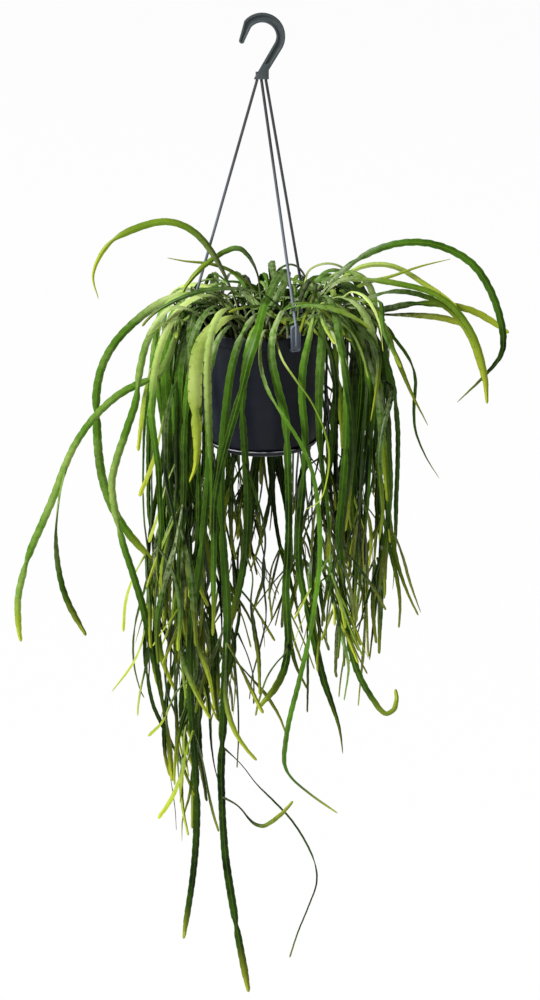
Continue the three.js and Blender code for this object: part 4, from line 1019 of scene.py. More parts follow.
# Stems lie beside each other and never through each other. So they are spread apart round by
# round, clear of the rods, the clips, the rim and the wall, and start supple and end exact.
STEM_GAP = 0.7
NOTCH = 0.13
RIM_RING_RADIUS = RIM_RADIUS - 1
RIM_RING_HEIGHT = RIM_TOP - 1.5
RIM_RING_THICKNESS = 1.9
BELOW_RIM = 30
HOLDER_GAP = 0.6
FINGER_MIDDLE = 71.3
ROUNDS_PER_SEARCH = 10
SEARCH_CELL = 40
SEARCH_REACH = 24
OWN_SPRAY_START = 45
SUPPLE_SMOOTHING = 0.45
EXACT_SMOOTHING = 0.02


def holder_obstacles():
    """The rods, paddles and fingers, as bars with a radius to keep off."""
    bars = []
    for socket_x, azimuth in HANGERS.values():
        out = outward(azimuth)
        aside = np.array([-out[1], out[0], 0]) * PADDLE_HALF_WIDTH
        bend = np.array([socket_x, 0, ROD_BEND])
        foot = out * (PADDLE_OUTSIDE - 0.4)
        foot[2] = PADDLE_TOP - 1
        paddle_foot = np.array([foot[0], foot[1], PADDLE_BOTTOM])
        finger = out * FINGER_MIDDLE
        finger[2] = RIM_TOP
        bars += [(bend, foot, 2.0), (foot, paddle_foot, 7.0), (finger - aside, finger + aside, 4.0)]
    return bars


def holder_radius(height):
    """Outer radius of the pot and saucer at a height."""
    share = (height - SHOULDER_TOP) / (BAND_BOTTOM - SHOULDER_TOP)
    wall = WAIST_RADIUS + (SHOULDER_RADIUS - WAIST_RADIUS) * share
    foot = np.where(height > SAUCER_BOTTOM - 8, WAIST_RADIUS, 0)
    return np.where(height > BAND_BOTTOM - 2, RIM_RADIUS, np.where(height > SHOULDER_TOP, wall, foot))


def spread_apart(held, rounds, supple_until, exact_from):
    """Moves the nodes of all but the first held stems until no two stems touch."""
    bars = holder_obstacles()
    starts = np.cumsum([0] + [len(stem["nodes"]) for stem in stems])
    stem_nodes = starts[-1]
    nodes = np.vstack([stem["nodes"] for stem in stems] + [np.array([bar[0], bar[1]]) for bar in bars])
    reaches = np.concatenate([stem["half_widths"] * (1 + NOTCH) + 0.2 for stem in stems]
                             + [[bar[2], bar[2]] for bar in bars])
    on_bar = np.arange(len(nodes)) >= stem_nodes
    fixed = on_bar.copy()
    rooted = np.zeros(len(nodes), bool)
    last = np.zeros(len(nodes), bool)
    order = np.full(len(nodes), -1)
    pieces = []
    sprays_seen = {}
    for s, stem in enumerate(stems):
        own = np.arange(starts[s], starts[s + 1])
        order[own] = np.arange(len(own))
        last[own[-1]] = True
        if stem["parent"] is None:
            rooted[own] = True
            fixed[own[:2]] = True
        if s < held:
            fixed[own] = True
        number = sprays_seen.setdefault(stem["spray"], len(sprays_seen))
        pieces += [(first, s, number, along) for first, along in zip(own[:-1], stem["distances"])]
    for k in range(len(bars)):
        pieces.append((stem_nodes + 2 * k, len(stems), -1, 1e9))
    first, owner, spray_of, along = (np.array(column) for column in zip(*pieces))
    still = fixed[first] & fixed[first + 1]
    unyielding = fixed if held else on_bar
    shifts = np.zeros_like(nodes)

    def near_pairs():
        """Pairs of segments near each other, of two stems of one spray only beyond their start."""
        placed = nodes + shifts
        a, b = placed[first], placed[first + 1]
        middles, spans = (a + b) / 2, np.linalg.norm(a - b, axis=1)
        cells = np.floor(middles / SEARCH_CELL).astype(int)
        long_one = spans > SEARCH_CELL
        numbers = np.arange(len(first))
        found = []
        for i in numbers[~long_one]:
            close = long_one | ((numbers < i) & (np.abs(cells - cells[i]).max(1) <= 1))
            near = numbers[close]
            keep = (owner[near] != owner[i]) & ~(still[near] & still[i])
            keep &= (spray_of[near] != spray_of[i]) | (np.minimum(along[near], along[i]) >= OWN_SPRAY_START)
            apart = np.linalg.norm(middles[near] - middles[i], axis=1)
            near = near[keep & (apart < (spans[near] + spans[i]) / 2 + SEARCH_REACH)]
            found.append(np.stack([np.full(len(near), i), near]))
        return np.concatenate(found, axis=1)

    def push_apart(pairs):
        """Both segments of each touching pair give way at their nearest points."""
        pushes, loads = np.zeros_like(nodes), np.zeros(len(nodes))
        placed = nodes + shifts
        ia, ib = first[pairs[0]], first[pairs[1]]
        a0, b0 = placed[ia], placed[ib]
        u, v, w = placed[ia + 1] - a0, placed[ib + 1] - b0, a0 - b0
        uu, vv, uv = (u * u).sum(1), (v * v).sum(1), (u * v).sum(1)
        uw, vw = (u * w).sum(1), (v * w).sum(1)
        slant = uu * vv - uv * uv
        safe = slant > 1e-6 * uu * vv
        s = np.where(safe, np.clip((uv * vw - vv * uw) / np.where(safe, slant, 1), 0, 1), 0.5)
        t = (uv * s + vw) / vv
        beyond = (t < 0) | (t > 1)
        t = np.clip(t, 0, 1)
        s = np.where(beyond, np.clip((uv * t - uw) / uu, 0, 1), s)
        away = a0 + u * s[:, None] - b0 - v * t[:, None]
        need = reaches[ia] * (1 - s) + reaches[ia + 1] * s + STEM_GAP
        need += reaches[ib] * (1 - t) + reaches[ib + 1] * t
        distance = np.linalg.norm(away, axis=1)
        hit = distance < need
        ia, ib, s, t, away, need, distance = (x[hit] for x in (ia, ib, s, t, away, need, distance))
        crossed = np.cross(u[hit], v[hit])
        crossed[np.linalg.norm(crossed, axis=1) < 1] = (0, 0, 1)
        away = np.where((distance < 0.3)[:, None], crossed, away)
        share = np.where(unyielding[ia] | unyielding[ib], 1.0, 0.5)
        away *= ((need - distance) * share / np.linalg.norm(away, axis=1))[:, None]
        for index, far, push in ((ia, s, away), (ib, t, -away)):
            lever = (1 - far) ** 2 + far ** 2
            np.add.at(pushes, index, push * ((1 - far) / lever)[:, None])
            np.add.at(pushes, index + 1, push * (far / lever)[:, None])
            np.add.at(loads, index, 1 - far)
            np.add.at(loads, index + 1, far)
        return pushes * (0.95 / np.maximum(1, loads))[:, None]

    def keep_off_holder(steps, own):
        """A stem passes over the rim, hangs outside the wall and keeps off the compost."""
        for i in steps:
            a, b = nodes[i] + shifts[i], nodes[i + 1] + shifts[i + 1]
            ra, rb = np.hypot(a[:, 0], a[:, 1]), np.hypot(b[:, 0], b[:, 1])
            run, rise = rb - ra, b[:, 2] - a[:, 2]
            to_ring = (RIM_RING_RADIUS - ra) * run + (RIM_RING_HEIGHT - a[:, 2]) * rise
            share = np.clip(to_ring / np.maximum(run * run + rise * rise, 1e-6), 0, 1)
            off_r = ra + run * share - RIM_RING_RADIUS
            off_z = a[:, 2] + rise * share - RIM_RING_HEIGHT
            distance = np.hypot(off_r, off_z)
            need = RIM_RING_THICKNESS + np.maximum(reaches[i], reaches[i + 1]) + HOLDER_GAP
            under = ((ra - RIM_RING_RADIUS) * (rb - RIM_RING_RADIUS) < 0) & (off_z < 0)
            act = (distance < need) | (under & (distance < BELOW_RIM))
            if not act.any():
                continue
            lack = np.where(under, need + distance, need - distance)
            size = np.maximum(distance, 0.01)
            off_r = np.where(under, 0, off_r / size)
            off_z = np.where(under, 1, off_z / size)
            push = a + (b - a) * share[:, None]
            push[:, 2] = 0
            push /= np.maximum(np.linalg.norm(push, axis=1), 1e-9)[:, None]
            push *= (off_r * lack)[:, None]
            push[:, 2] = off_z * lack
            lever = share * share + (1 - share) * (1 - share)
            free = act & ~fixed[i]
            shifts[i[free]] += push[free] * ((1 - share) / lever)[free, None]
            shifts[i[act] + 1] += push[act] * (share / lever)[act, None]
        here = nodes[own] + shifts[own]
        radius = np.hypot(here[:, 0], here[:, 1])
        clear = reaches[own] + HOLDER_GAP
        outside = (radius > SHOULDER_RADIUS - 1) & (here[:, 2] < RIM_TOP - 1)
        lack = np.where(outside, np.maximum(0, holder_radius(here[:, 2]) + clear - radius), 0)
        shifts[own, :2] += here[:, :2] * (lack / np.maximum(radius, 1e-9))[:, None]
        on_soil = ~outside & (np.abs(here[:, 2] - SOIL_TOP) < 20) & (radius <= SHOULDER_RADIUS - 1)
        shifts[own, 2] += np.where(on_soil, np.maximum(0, SOIL_TOP + clear - here[:, 2]), 0)

    groups = []
    for is_rooted in (True, False):
        moved = np.flatnonzero((order >= 0) & (rooted == is_rooted) & ~fixed)
        own = np.flatnonzero((order >= (2 if is_rooted else 1)) & (rooted == is_rooted) & ~fixed)
        ladder = np.flatnonzero((order >= 1) & (rooted == is_rooted) & ~last & ~(fixed & np.roll(fixed, -1)))
        deepest = order[ladder].max() if len(ladder) else 0
        groups.append((is_rooted, moved, own, [ladder[order[ladder] == i] for i in range(1, deepest + 1)]))
    moving = [(s, stem) for s, stem in enumerate(stems) if s >= held]
    joints = np.array([[starts[s], starts[stem["parent"]] + stem["parent_node"]]
                       for s, stem in moving if stem["parent"] is not None])
    for round_number in range(rounds):
        if round_number % ROUNDS_PER_SEARCH == 0:
            pairs = near_pairs()
        push = push_apart(pairs)
        supple = min(1, max(0, (exact_from - round_number) / (exact_from - supple_until)))
        smoothing = EXACT_SMOOTHING + SUPPLE_SMOOTHING * supple
        for is_rooted, moved, own, steps in groups:
            shifts[moved] += push[moved]
            if not is_rooted:
                shifts[joints[:, 0]] = shifts[joints[:, 1]]
            before = shifts.copy()
            following = np.where(last[own], own - 1, own + 1)
            even = np.where(last[own][:, None], before[own - 1], (before[own - 1] + before[following]) / 2)
            shifts[own] += (even - shifts[own]) * smoothing
            keep_off_holder(steps, own)
    for s, stem in moving:
        stem["nodes"] = (nodes + shifts)[starts[s]:starts[s + 1]]
    for s, stem in moving:
        if stem["parent"] is not None:
            stem["nodes"][0] = stems[stem["parent"]]["nodes"][stem["parent_node"]]


spread_apart(0, 260, 120, 200)
packed_count = len(stems)

# Stem skins: each packed stem gets its real form on the same centre line, a flat ribbon with a
# raised midrib, blunt teeth along both edges, waists where one season's growth joins the next,
# and a rounded stalk where it leaves the compost or its parent stem.
STEM_THICKNESS = 2.6
STALK_THICKNESS = 3.4
ROW_PITCH = 3.25
CURVE_STEPS = 8
TOOTH_PITCH = 13
TOOTH_HEIGHT = 0.16
TOOTH_SINK = 0.1
TOOTH_CLIMB = 0.62
WAIST_DEPTH = 0.42
WAIST_LENGTH = 8
SEASON_START = 45
LARGEST_KINK = 3.5
FACING_TURN = 1.35
RIBBON_SECTION = np.array([
    (-1, 0), (-0.55, 0.20), (0, 0.60), (0.55, 0.20), (1, 0), (0.5, -0.26), (0, -0.34), (-0.5, -0.26),
])
CORNERS = len(RIBBON_SECTION)
ACROSS_PLACES = np.array([0, 0.225, 0.5, 0.775, 1, 0.75, 0.5, 0.25])
PLANT_BOX = np.array(cad_box) / MM + [[0.1], [-0.1]]
stem_random = np.random.default_rng(77)
YELLOWED_TIPS = {
    "stem_right_middle": 130, "stem_right_reach": 110, "stem_left_outer": 60, "stem_left_inner": 50,
    "stem_front_slanted": 60, "stem_front_right_outer": 70, "stem_front_left_long": 45,
    "stem_upper_left": 110,
}
SLIMMED = {
    "stem_right_upper": 0.76, "stem_right_middle": 0.62, "stem_left_inner": 0.8, "stem_front_left_long": 0.82,
    "stem_upper_left": 0.95, "stem_front_bright": 1.2, "stem_left_long": 0.95,
}
SLIMMED_USUAL = 0.88
OWN_TONES = {
    "stem_right_arch": 0.1, "stem_right_upper": 0.2, "stem_right_middle": 0.26, "stem_upper_left": 0.24,
    "stem_right_reach": 0.15, "stem_front_bright": 0.85,
}


def heading_at_start(nodes):
    """The level direction in which a stem sets off."""
    heading = nodes[min(len(nodes) - 1, 7)] - nodes[0]
    return heading[:2] / max(math.hypot(heading[0], heading[1]), 1e-6)


def row_distances(start, length, tip):
    """Rows at an even pitch, and closer together round the tip."""
    even = np.arange(start, length - tip, ROW_PITCH)
    close = length - tip * np.array([1, 0.72, 0.48, 0.28, 0.13, 0.04, 0])
    return np.concatenate([even[even < close[0] - 1], close])


def centre_line(stem, rows):
    """The middle of each row, and the directions along its width and out of its ribbed face."""
    nodes = stem["nodes"]
    curve = smooth_route(nodes, CURVE_STEPS)
    curve_runs = np.interp(np.arange(len(curve)) / CURVE_STEPS, np.arange(len(nodes)), stem["distances"])
    middle = points_at(rows, curve_runs, curve)
    tangent = np.gradient(middle, axis=0)
    tangent /= np.maximum(np.linalg.norm(tangent, axis=1), 1e-9)[:, None]
    heading = heading_at_start(nodes)
    across = np.array([-heading[1], heading[0], 0])
    facing = FACING_TURN * heading[0]
    turned, outwards = np.zeros_like(middle), np.zeros_like(middle)
    waviness = stem_random.uniform(0.1, 0.3) if stem.get("extra") else 0.0
    wave_length = stem_random.uniform(60, 120)
    for i, along in enumerate(tangent):
        across = across - along * (across @ along)
        across /= max(np.linalg.norm(across), 1e-9)
        angle = stem["twist"] * rows[i] / 150 + waviness * math.sin(rows[i] / wave_length)
        angle += facing * smoothstep(rows[i], 20, 120)
        side = np.cross(along, across)
        turned[i] = across * math.cos(angle) + side * math.sin(angle)
        outwards[i] = np.cross(along, turned[i])

    # Each season's length hangs a little off the line of the one before
    seasons = stem_random.uniform(35, 105, int(stem["distances"][-1] / 35) + 1)
    kinks = np.concatenate([[0, SEASON_START], SEASON_START + np.cumsum(seasons)])
    for direction in (turned, outwards):
        shifts = stem_random.normal(0, 0.7 if stem["named"] else 2.1, len(kinks))
        shifts[:2] = 0
        shifts = np.clip(shifts, -LARGEST_KINK, LARGEST_KINK)
        middle += direction * np.interp(rows, kinks, shifts)[:, None]
    return middle, turned, outwards


def width_along(stem, rows):
    """Half the width of each row, which tapers, swells slowly and has a waist between seasons."""
    length = stem["distances"][-1]
    half = half_width_at(stem, rows)
    if stem["named"]:
        half = half * SLIMMED.get(stem["spray"], SLIMMED_USUAL)
    else:
        half = half * stem_random.uniform(0.72, 0.96) * (1 - 0.32 * smoothstep(rows, 120, 380))
    if stem["ending"] == "pointed":
        closing = np.clip((length - rows) / POINTED_END, 0, 1)
        half = half / (0.4 + 0.6 * closing) * (0.12 + 0.88 * closing)
    if stem["ending"] == "blunt":
        closing = np.clip((length - rows) / BLUNT_END, 0, 1)
        tapered = 34 if stem["named"] else 70
        half = half / (0.4 + 0.6 * closing) * (0.55 + 0.45 * smoothstep(length - rows, 0, tapered))
    narrowing = np.ones_like(rows)
    joint = stem_random.uniform(90, 260)
    while joint < length - 70:
        narrowing -= WAIST_DEPTH * np.exp(-((rows - joint) / WAIST_LENGTH) ** 2)
        joint += stem_random.uniform(150, 320)
    half = half * narrowing
    return half * (1 + 0.05 * np.sin(rows / stem_random.uniform(28, 44) + stem_random.uniform(0, 6)))


def corking(stem, rows):
    """Old growth turns grey-green and corky towards its base."""
    rooted = stem["parent"] is None
    return (1 - smoothstep(rows, 30, 150)) * (0.9 if rooted else 0.5) * stem_random.uniform(0, 1) ** 1.4


def stem_form(stem):
    """Every vertex of a stem's skin, row by row, with its age and its place along the stem."""
    rooted = stem["parent"] is None
    length = stem["distances"][-1]
    tip = min(6, max(3, stem["half"] * 1.1))
    rows = row_distances(stem["distances"][0], length, tip)
    middle, turned, outwards = centre_line(stem, rows)
    rounding = np.sqrt(np.clip(1 - np.clip((rows - length + tip) / tip, 0, 1) ** 2, 0.0004, 1))
    half = width_along(stem, rows) * rounding
    grown = smoothstep(rows, 20, 100) if rooted else smoothstep(rows, 4, 40)
    toothed = 0.5 if stem["named"] and stem["young"] else 1
    teeth = []
    offset = stem_random.uniform(0, 1)
    for shift in (0, 0.5):
        phase = (rows / TOOTH_PITCH + shift + offset) % 1
        rise = TOOTH_HEIGHT * np.minimum(phase / TOOTH_CLIMB, 1) ** 0.8 - TOOTH_SINK
        teeth.append(1 + toothed * grown * rise)
    thin = np.minimum(1, 0.2 + half / 4) * rounding
    round_stalk = (1 - smoothstep(rows, 10, 60)) if rooted else (1 - smoothstep(rows, 0, 24)) * 0.8
    thickness = STEM_THICKNESS * thin * (1 - round_stalk) + STALK_THICKNESS * round_stalk
    if not rooted:
        thickness = np.minimum(thickness, 2 * half + 0.4)

    oval = np.array([(math.cos(a), 0.5 * math.sin(a)) for a in np.radians(180 - 45 * np.arange(CORNERS))])
    roundness = round_stalk[:, None, None]
    section = RIBBON_SECTION[None] * (1 - roundness) + oval[None] * roundness
    side_teeth = np.where(RIBBON_SECTION[:, 0] < 0, teeth[0][:, None], teeth[1][:, None])
    u = section[:, :, 0] * half[:, None] * side_teeth
    h = section[:, :, 1] * thickness[:, None]
    points = middle[:, None] + turned[:, None] * u[..., None] + outwards[:, None] * h[..., None]
    points = np.clip(points, PLANT_BOX[0], PLANT_BOX[1])
    young_tip = stem_random.uniform(60, 150) if stem["young"] else stem_random.uniform(25, 95)
    tip_strength = stem_random.uniform(0.5, 1) if stem["young"] else stem_random.uniform(0.1, 0.85)
    if stem["spray"] in YELLOWED_TIPS and stem["named"]:
        young_tip, tip_strength = YELLOWED_TIPS[stem["spray"]], 0.95
    youth = tip_strength * np.clip(1 - (length - rows) / young_tip, 0, 1) ** 1.2
    return points, youth, corking(stem, rows), rows / TOOTH_PITCH + offset


def tone_and_painted_shade_of(stem):
    """Each stem's tone, partly at random: inner stems are darker, partly as old growth and partly as painted
    shade from the stems round them, and outer ones and those at the front are lighter.
    """
    hanging = stem["nodes"][stem["nodes"][:, 2] < RIM_TOP]
    nodes = hanging if len(hanging) else stem["nodes"]
    far = np.hypot(nodes[:, 0], nodes[:, 1]).mean()
    outer = min(1, max(0, (far - 84) / 60))
    share = stem_random.uniform(0, 1)
    if stem["named"]:
        return OWN_TONES.get(stem["spray"], 0.27 + 0.36 * share + 0.2 * outer)
    return 0.02 + (0.4 + 0.85 * outer) * share ** 1.6


def tone_with_painted_shade_and_light(tone, points):
    """Painted shade darkens growth deep in the hanging curtain, less so at the front, and painted light
    lightens the top of the crown.
    """
    middle = points.mean(axis=1)
    low = smoothstep(-middle[:, 2], 345, 500)
    inside = 1 - smoothstep(np.abs(middle[:, 0]), 115, 175)
    in_front = smoothstep(-middle[:, 1], 74, 96)
    crown = smoothstep(middle[:, 2], -350, -290)
    return tone * (1 - (0.82 - 0.35 * in_front) * low * inside) + 0.15 * crown


def stem_piece(name, members, young):
    """One mesh of a few stems, with each stem's tone (which holds painted shade and light), youth and bark as
    amounts to mix by.
    """
    points, faces, places = [], [], []
    amounts = {"tone": [], "youth": [], "bark": []}
    base = 0
    for stem in members:
        form, youth, bark, along = stem_form(stem)
        # The tone carries painted shade deep in the curtain and painted light on the crown.
        tone = tone_with_painted_shade_and_light(tone_and_painted_shade_of(stem), form)
        for title, values in (("tone", tone), ("youth", youth), ("bark", bark)):
            amounts[title].append(np.repeat(values, CORNERS))
        points.append(form.reshape(-1, 3))
        place = np.stack(np.broadcast_arrays(ACROSS_PLACES, along[:, None]), axis=-1)
        places.append(place.reshape(-1, 2))
        rows = len(form)
        i = np.arange(rows - 1)[:, None] * CORNERS + base
        k = np.arange(CORNERS)
        following = (k + 1) % CORNERS
        quads = np.stack([i + k, i + following, i + CORNERS + following, i + CORNERS + k], axis=-1)
        faces += quads.reshape(-1, 4).tolist()
        faces.append((base + k[::-1]).tolist())
        faces.append((base + (rows - 1) * CORNERS + k).tolist())
        base += rows * CORNERS
    piece = piece_of(name, points, faces)
    mesh = piece.data
    for title, values in amounts.items():
        layer = mesh.attributes.new(title, "FLOAT", "POINT")
        layer.data.foreach_set("value", np.concatenate(values).astype(np.float32))
    chart = mesh.uv_layers.new(name="across_and_along")
    corner_points = np.zeros(len(mesh.loops), dtype=np.int32)
    mesh.loops.foreach_get("vertex_index", corner_points)
    chart.data.foreach_set("uv", np.concatenate(places)[corner_points].ravel().astype(np.float32))
    pick(piece)
    bpy.ops.object.mode_set(mode="EDIT")
    face_outwards()
    round_edges(piece, 0, 0, 62)
    piece.data.materials.append(young_flesh if young else mature_flesh)
    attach(piece, "root")
    return piece


SKIN_COLOURS = ("Deep Colour", "Middle Colour", "Light Colour", "Tip Colour", "Bark Colour")
SPINE_DOT_COLOUR = (0.035, 0.03, 0.015)


def soft_step(tree, value, low, high):
    """Rises smoothly from 0 to 1 as the value goes from low to high."""
    return ramp(tree, value, low, high, kind="SMOOTHSTEP")


def stem_skin_group():
    """Stem skin: a pale midrib and margins, a dot at each tooth, mottling, bark and young tips."""
    tree, given, result = new_group("stem_skin", SKIN_COLOURS, ("Colour", "Roughness", "Height"))
    tone, youth, bark = (
        add_node(tree, "Attribute", attribute_name=title).outputs["Fac"]
        for title in ("tone", "youth", "bark"))
    chart = add_node(tree, "UVMap", uv_map="across_and_along").outputs["UV"]
    across, along, _ = add_node(tree, "SeparateXYZ", {0: chart}).outputs
    off_middle = figure(tree, "ABSOLUTE", figure(tree, "SUBTRACT", across, 0.5))
    rib = figure(tree, "SUBTRACT", 1.0, soft_step(tree, off_middle, 0.02, 0.10))
    margin = soft_step(tree, off_middle, 0.40, 0.5)

    left_side = figure(tree, "LESS_THAN", across, 0.5)
    tooth = figure(tree, "FRACT", figure(tree, "ADD", along, figure(tree, "MULTIPLY", left_side, 0.5)))
    off_notch = figure(tree, "ABSOLUTE", figure(tree, "SUBTRACT", tooth, 0.5))
    near_notch = figure(tree, "SUBTRACT", 1.0, soft_step(tree, off_notch, 0.02, 0.10))
    dots = figure(tree, "MULTIPLY", near_notch, soft_step(tree, off_middle, 0.32, 0.42))

    broad = value_noise(tree, 14, 2)
    mottle = value_noise(tree, 160, 4, 0.62)
    fine = value_noise(tree, 900, 2, 0.6)
    # The tone brings painted shade and painted light as well as each stem's own tone, and the pale Light
    # Colour partly stands in for a sheen, a painted highlight.
    toned = figure(tree, "MULTIPLY", tone, 0.85)
    shade = figure(tree, "ADD", toned, figure(tree, "MULTIPLY_ADD", broad, 0.8, -0.38))
    shade = figure(tree, "ADD", shade, figure(tree, "MULTIPLY_ADD", mottle, 0.34, -0.17), clamp=True)
    lower_half = figure(tree, "MULTIPLY", shade, 2.0, clamp=True)
    upper_half = figure(tree, "MULTIPLY_ADD", shade, 2.0, -1.0, clamp=True)
    barky = figure(tree, "MULTIPLY", bark, soft_step(tree, mottle, 0.32, 0.62), clamp=True)
    colour = mix_colour(tree, lower_half, given["Deep Colour"], given["Middle Colour"])
    for amount, over in (
        (upper_half, given["Light Colour"]),
        (figure(tree, "MULTIPLY", rib, 0.13), given["Tip Colour"]),
        (figure(tree, "MULTIPLY", margin, 0.16), given["Tip Colour"]),
        (barky, given["Bark Colour"]),
        (figure(tree, "MULTIPLY", youth, 0.95, clamp=True), given["Tip Colour"]),
        (figure(tree, "MULTIPLY", dots, 0.55), SPINE_DOT_COLOUR),
    ):
        colour = mix_colour(tree, amount, colour, over)
    feed(tree, result["Colour"], colour)
    rough = figure(tree, "MULTIPLY_ADD", mottle, 0.22, 0.22)
    feed(tree, result["Roughness"], figure(tree, "ADD", rough, figure(tree, "MULTIPLY", bark, 0.2)))
    coarse = figure(tree, "MULTIPLY", mottle, 0.7)
    feed(tree, result["Height"], figure(tree, "ADD", coarse, figure(tree, "MULTIPLY", fine, 0.3)))
    return tree


stem_skin = stem_skin_group()


def stem_flesh(name, *colours):
    """The fleshy skin of one age of stem, from its deep, middle, light, tip and bark colours."""
    return skinned(name, stem_skin, 0.07, 0.0004, 0.6, dict(zip(SKIN_COLOURS, colours)))


# The pale light colours partly stand in for a waxy sheen: painted highlight.
mature_flesh = stem_flesh(
    "mature_stem_flesh", (0.0014, 0.014, 0.0006), (0.056, 0.148, 0.010), (0.35, 0.45, 0.125),
    (0.36, 0.41, 0.030), (0.34, 0.38, 0.22))
young_flesh = stem_flesh(
    "young_stem_flesh", (0.020, 0.075, 0.003), (0.135, 0.222, 0.018), (0.42, 0.50, 0.15),
    (0.39, 0.43, 0.030), (0.34, 0.37, 0.21))
for name in dict.fromkeys(stem["spray"] for stem in stems):
    members = [stem for stem in stems if stem["spray"] == name]
    piece = stem_piece(name + "_stems", members, members[0]["young"])
    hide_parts(name)

# Further growth: the many side stems that fill the crown and the curtain. They spring from the
# packed stems, droop under their own weight, change course a little at each season's joint and
# are spread apart in the same way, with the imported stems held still.
growth_random = np.random.default_rng(2031)
LEFT_LIMIT = -140
RIGHT_LIMIT = 144
FRONT_LIMIT = -108
BACK_LIMIT = 150
CROWN_LIMIT = -272
POINTED_SHARE = 0.22
FRONT_ANGLE = 40
FREE_START = 4

# Kind, half width, ending, whether young, and the points of each stem given one by one
FURTHER_ROUTES = [
    ("crown_shoots", 5.2, "blunt", False, [
        (10, -8, -322), (22, -14, -286), (26, -22, -264), (19, -34, -268), (6, -52, -292), (-6, -70, -312),
        (-16, -88, -340), (-26, -94, -384), (-37, -97, -430), (-46, -98, -480), (-51, -96, -540),
        (-54, -92, -610), (-56, -90, -664)]),
    ("crown_shoots", 4.6, "blunt", False, [
        (30, -16, -326), (42, -22, -300), (54, -28, -276), (60, -40, -284), (50, -66, -306),
        (44, -84, -322)]),
    ("crown_shoots", 4.4, "pointed", False, [
        (-6, -14, -322), (-10, -30, -296), (-12, -40, -280), (-16, -50, -276)]),
    ("curtain_stems", 3.2, "blunt", True, [
        (128, -5, -400), (137, -6, -440), (141, -8, -489), (149, -9, -575), (161, -10, -631),
        (178, -10, -673)]),
    ("curtain_stems", 3, "blunt", True, [
        (118, 0, -470), (132, -4, -540), (144, -6, -600), (156, -8, -648), (155, -8, -688)]),
    ("curtain_stems", 3.6, "blunt", False, [
        (-19, -88, -472), (-9, -84, -496), (0, -78, -545), (-4, -74, -599), (1, -72, -654), (-7, -70, -709),
        (-15, -70, -754)]),
    ("curtain_stems", 3.4, "blunt", False, [
        (-20, -86, -563), (-11, -80, -597), (-13, -76, -640), (-5, -72, -690), (-1, -72, -743)]),
    ("curtain_stems", 3.2, "blunt", False, [
        (32, -86, -672), (24, -84, -691), (11, -82, -707), (0, -80, -735), (-7, -80, -767)]),
]

# The same for the bright young branchlets along the outer edges
YOUNG_ENDS = [
    (5.0, "blunt", [(-124, -30, -378), (-128, -32, -398), (-131, -34, -426), (-136, -36, -466)]),
    (4.9, "blunt", [(-108, -40, -421), (-113, -42, -448), (-122, -44, -481), (-136, -46, -517)]),
    (5.2, "blunt", [(-97, -44, -469), (-104, -46, -498), (-114, -48, -534), (-125, -50, -570)]),
    (4.8, "blunt", [(-135, -36, -578), (-144, -38, -613), (-154, -40, -642), (-158, -42, -680)]),
    (4.2, "pointed", [(-127, -30, -664), (-136, -32, -694), (-150, -34, -727), (-171, -36, -757)]),
    (5.0, "blunt", [(-123, -44, -655), (-128, -46, -694), (-137, -48, -742), (-142, -48, -782)]),
    (5.2, "blunt", [(-93, -56, -718), (-100, -58, -750), (-113, -60, -780), (-130, -60, -801)]),
    (5.0, "blunt", [(-103, -50, -760), (-108, -52, -794), (-107, -52, -828), (-102, -52, -859)]),
    (5.1, "blunt", [(-83, -60, -799), (-90, -62, -835), (-104, -62, -873), (-121, -62, -902)]),
    (4.6, "pointed", [(141, -10, -539), (151, -12, -580), (165, -14, -625), (180, -16, -666)]),
]
FURTHER_ROUTES += [("branchlets", half, ending, True, route) for half, ending, route in YOUNG_ENDS]

# How each sort of growth sets off and how large it gets, drawn between each pair of limits
GROWTH = {
    "crown": dict(spread=70, lift=(-10, 50), droop=(40, 110), length=(80, 230), half=(2.8, 4.8),
                  young=0.12, young_in_front=0, restless=0.0035),
    "curtain": dict(spread=38, lift=(-50, 30), droop=(28, 70), length=(170, 400), half=(2.9, 4.8),
                    young=0.14, restless=0.0045),
    "low_curtain": dict(spread=60, lift=(-84, -55), droop=(60, 160), length=(130, 270), half=(2.7, 4.6),
                        young=0.25, restless=0.0045),
    "branchlet": dict(spread=85, lift=(-82, -42), droop=(60, 200), length=(40, 150), half=(2.2, 4.3),
                      young=0.42, restless=0.004),
    "wiry": dict(spread=60, lift=(-80, -30), droop=(40, 110), length=(120, 330), half=(0.8, 1.5),
                 young=None, restless=0.006),
}


def azimuth_of(place):
    """Degrees round the pot from the front towards the right."""
    return math.degrees(math.atan2(place[0], -place[1]))


def off_front(place):
    return abs(azimuth_of(place)) > FRONT_ANGLE


def drooping_route(start, azimuth, lift, droop, length, restless):
    """Sets off at a lift, bends down within about its droop length, and wanders as it goes."""
    turn = math.radians(lift)
    heading = outward(azimuth) * math.cos(turn) + np.array([0, 0, math.sin(turn)])
    here = np.array(start, float)
    route = [here]
    drift = growth_random.normal(0, restless, 3)
    next_joint = growth_random.uniform(25, 70)
    run = 0.0
    while run < length:
        if run > next_joint:
            drift = growth_random.normal(0, restless, 3)
            next_joint += growth_random.uniform(35, 110)
        heading = heading + (np.array([0, 0, -1.0]) / droop + drift * [1, 1, 0.4]) * ROUTE_STEP
        heading /= np.linalg.norm(heading)
        here = here + heading * ROUTE_STEP
        route.append(here)
        run += ROUTE_STEP
    return np.array(route)


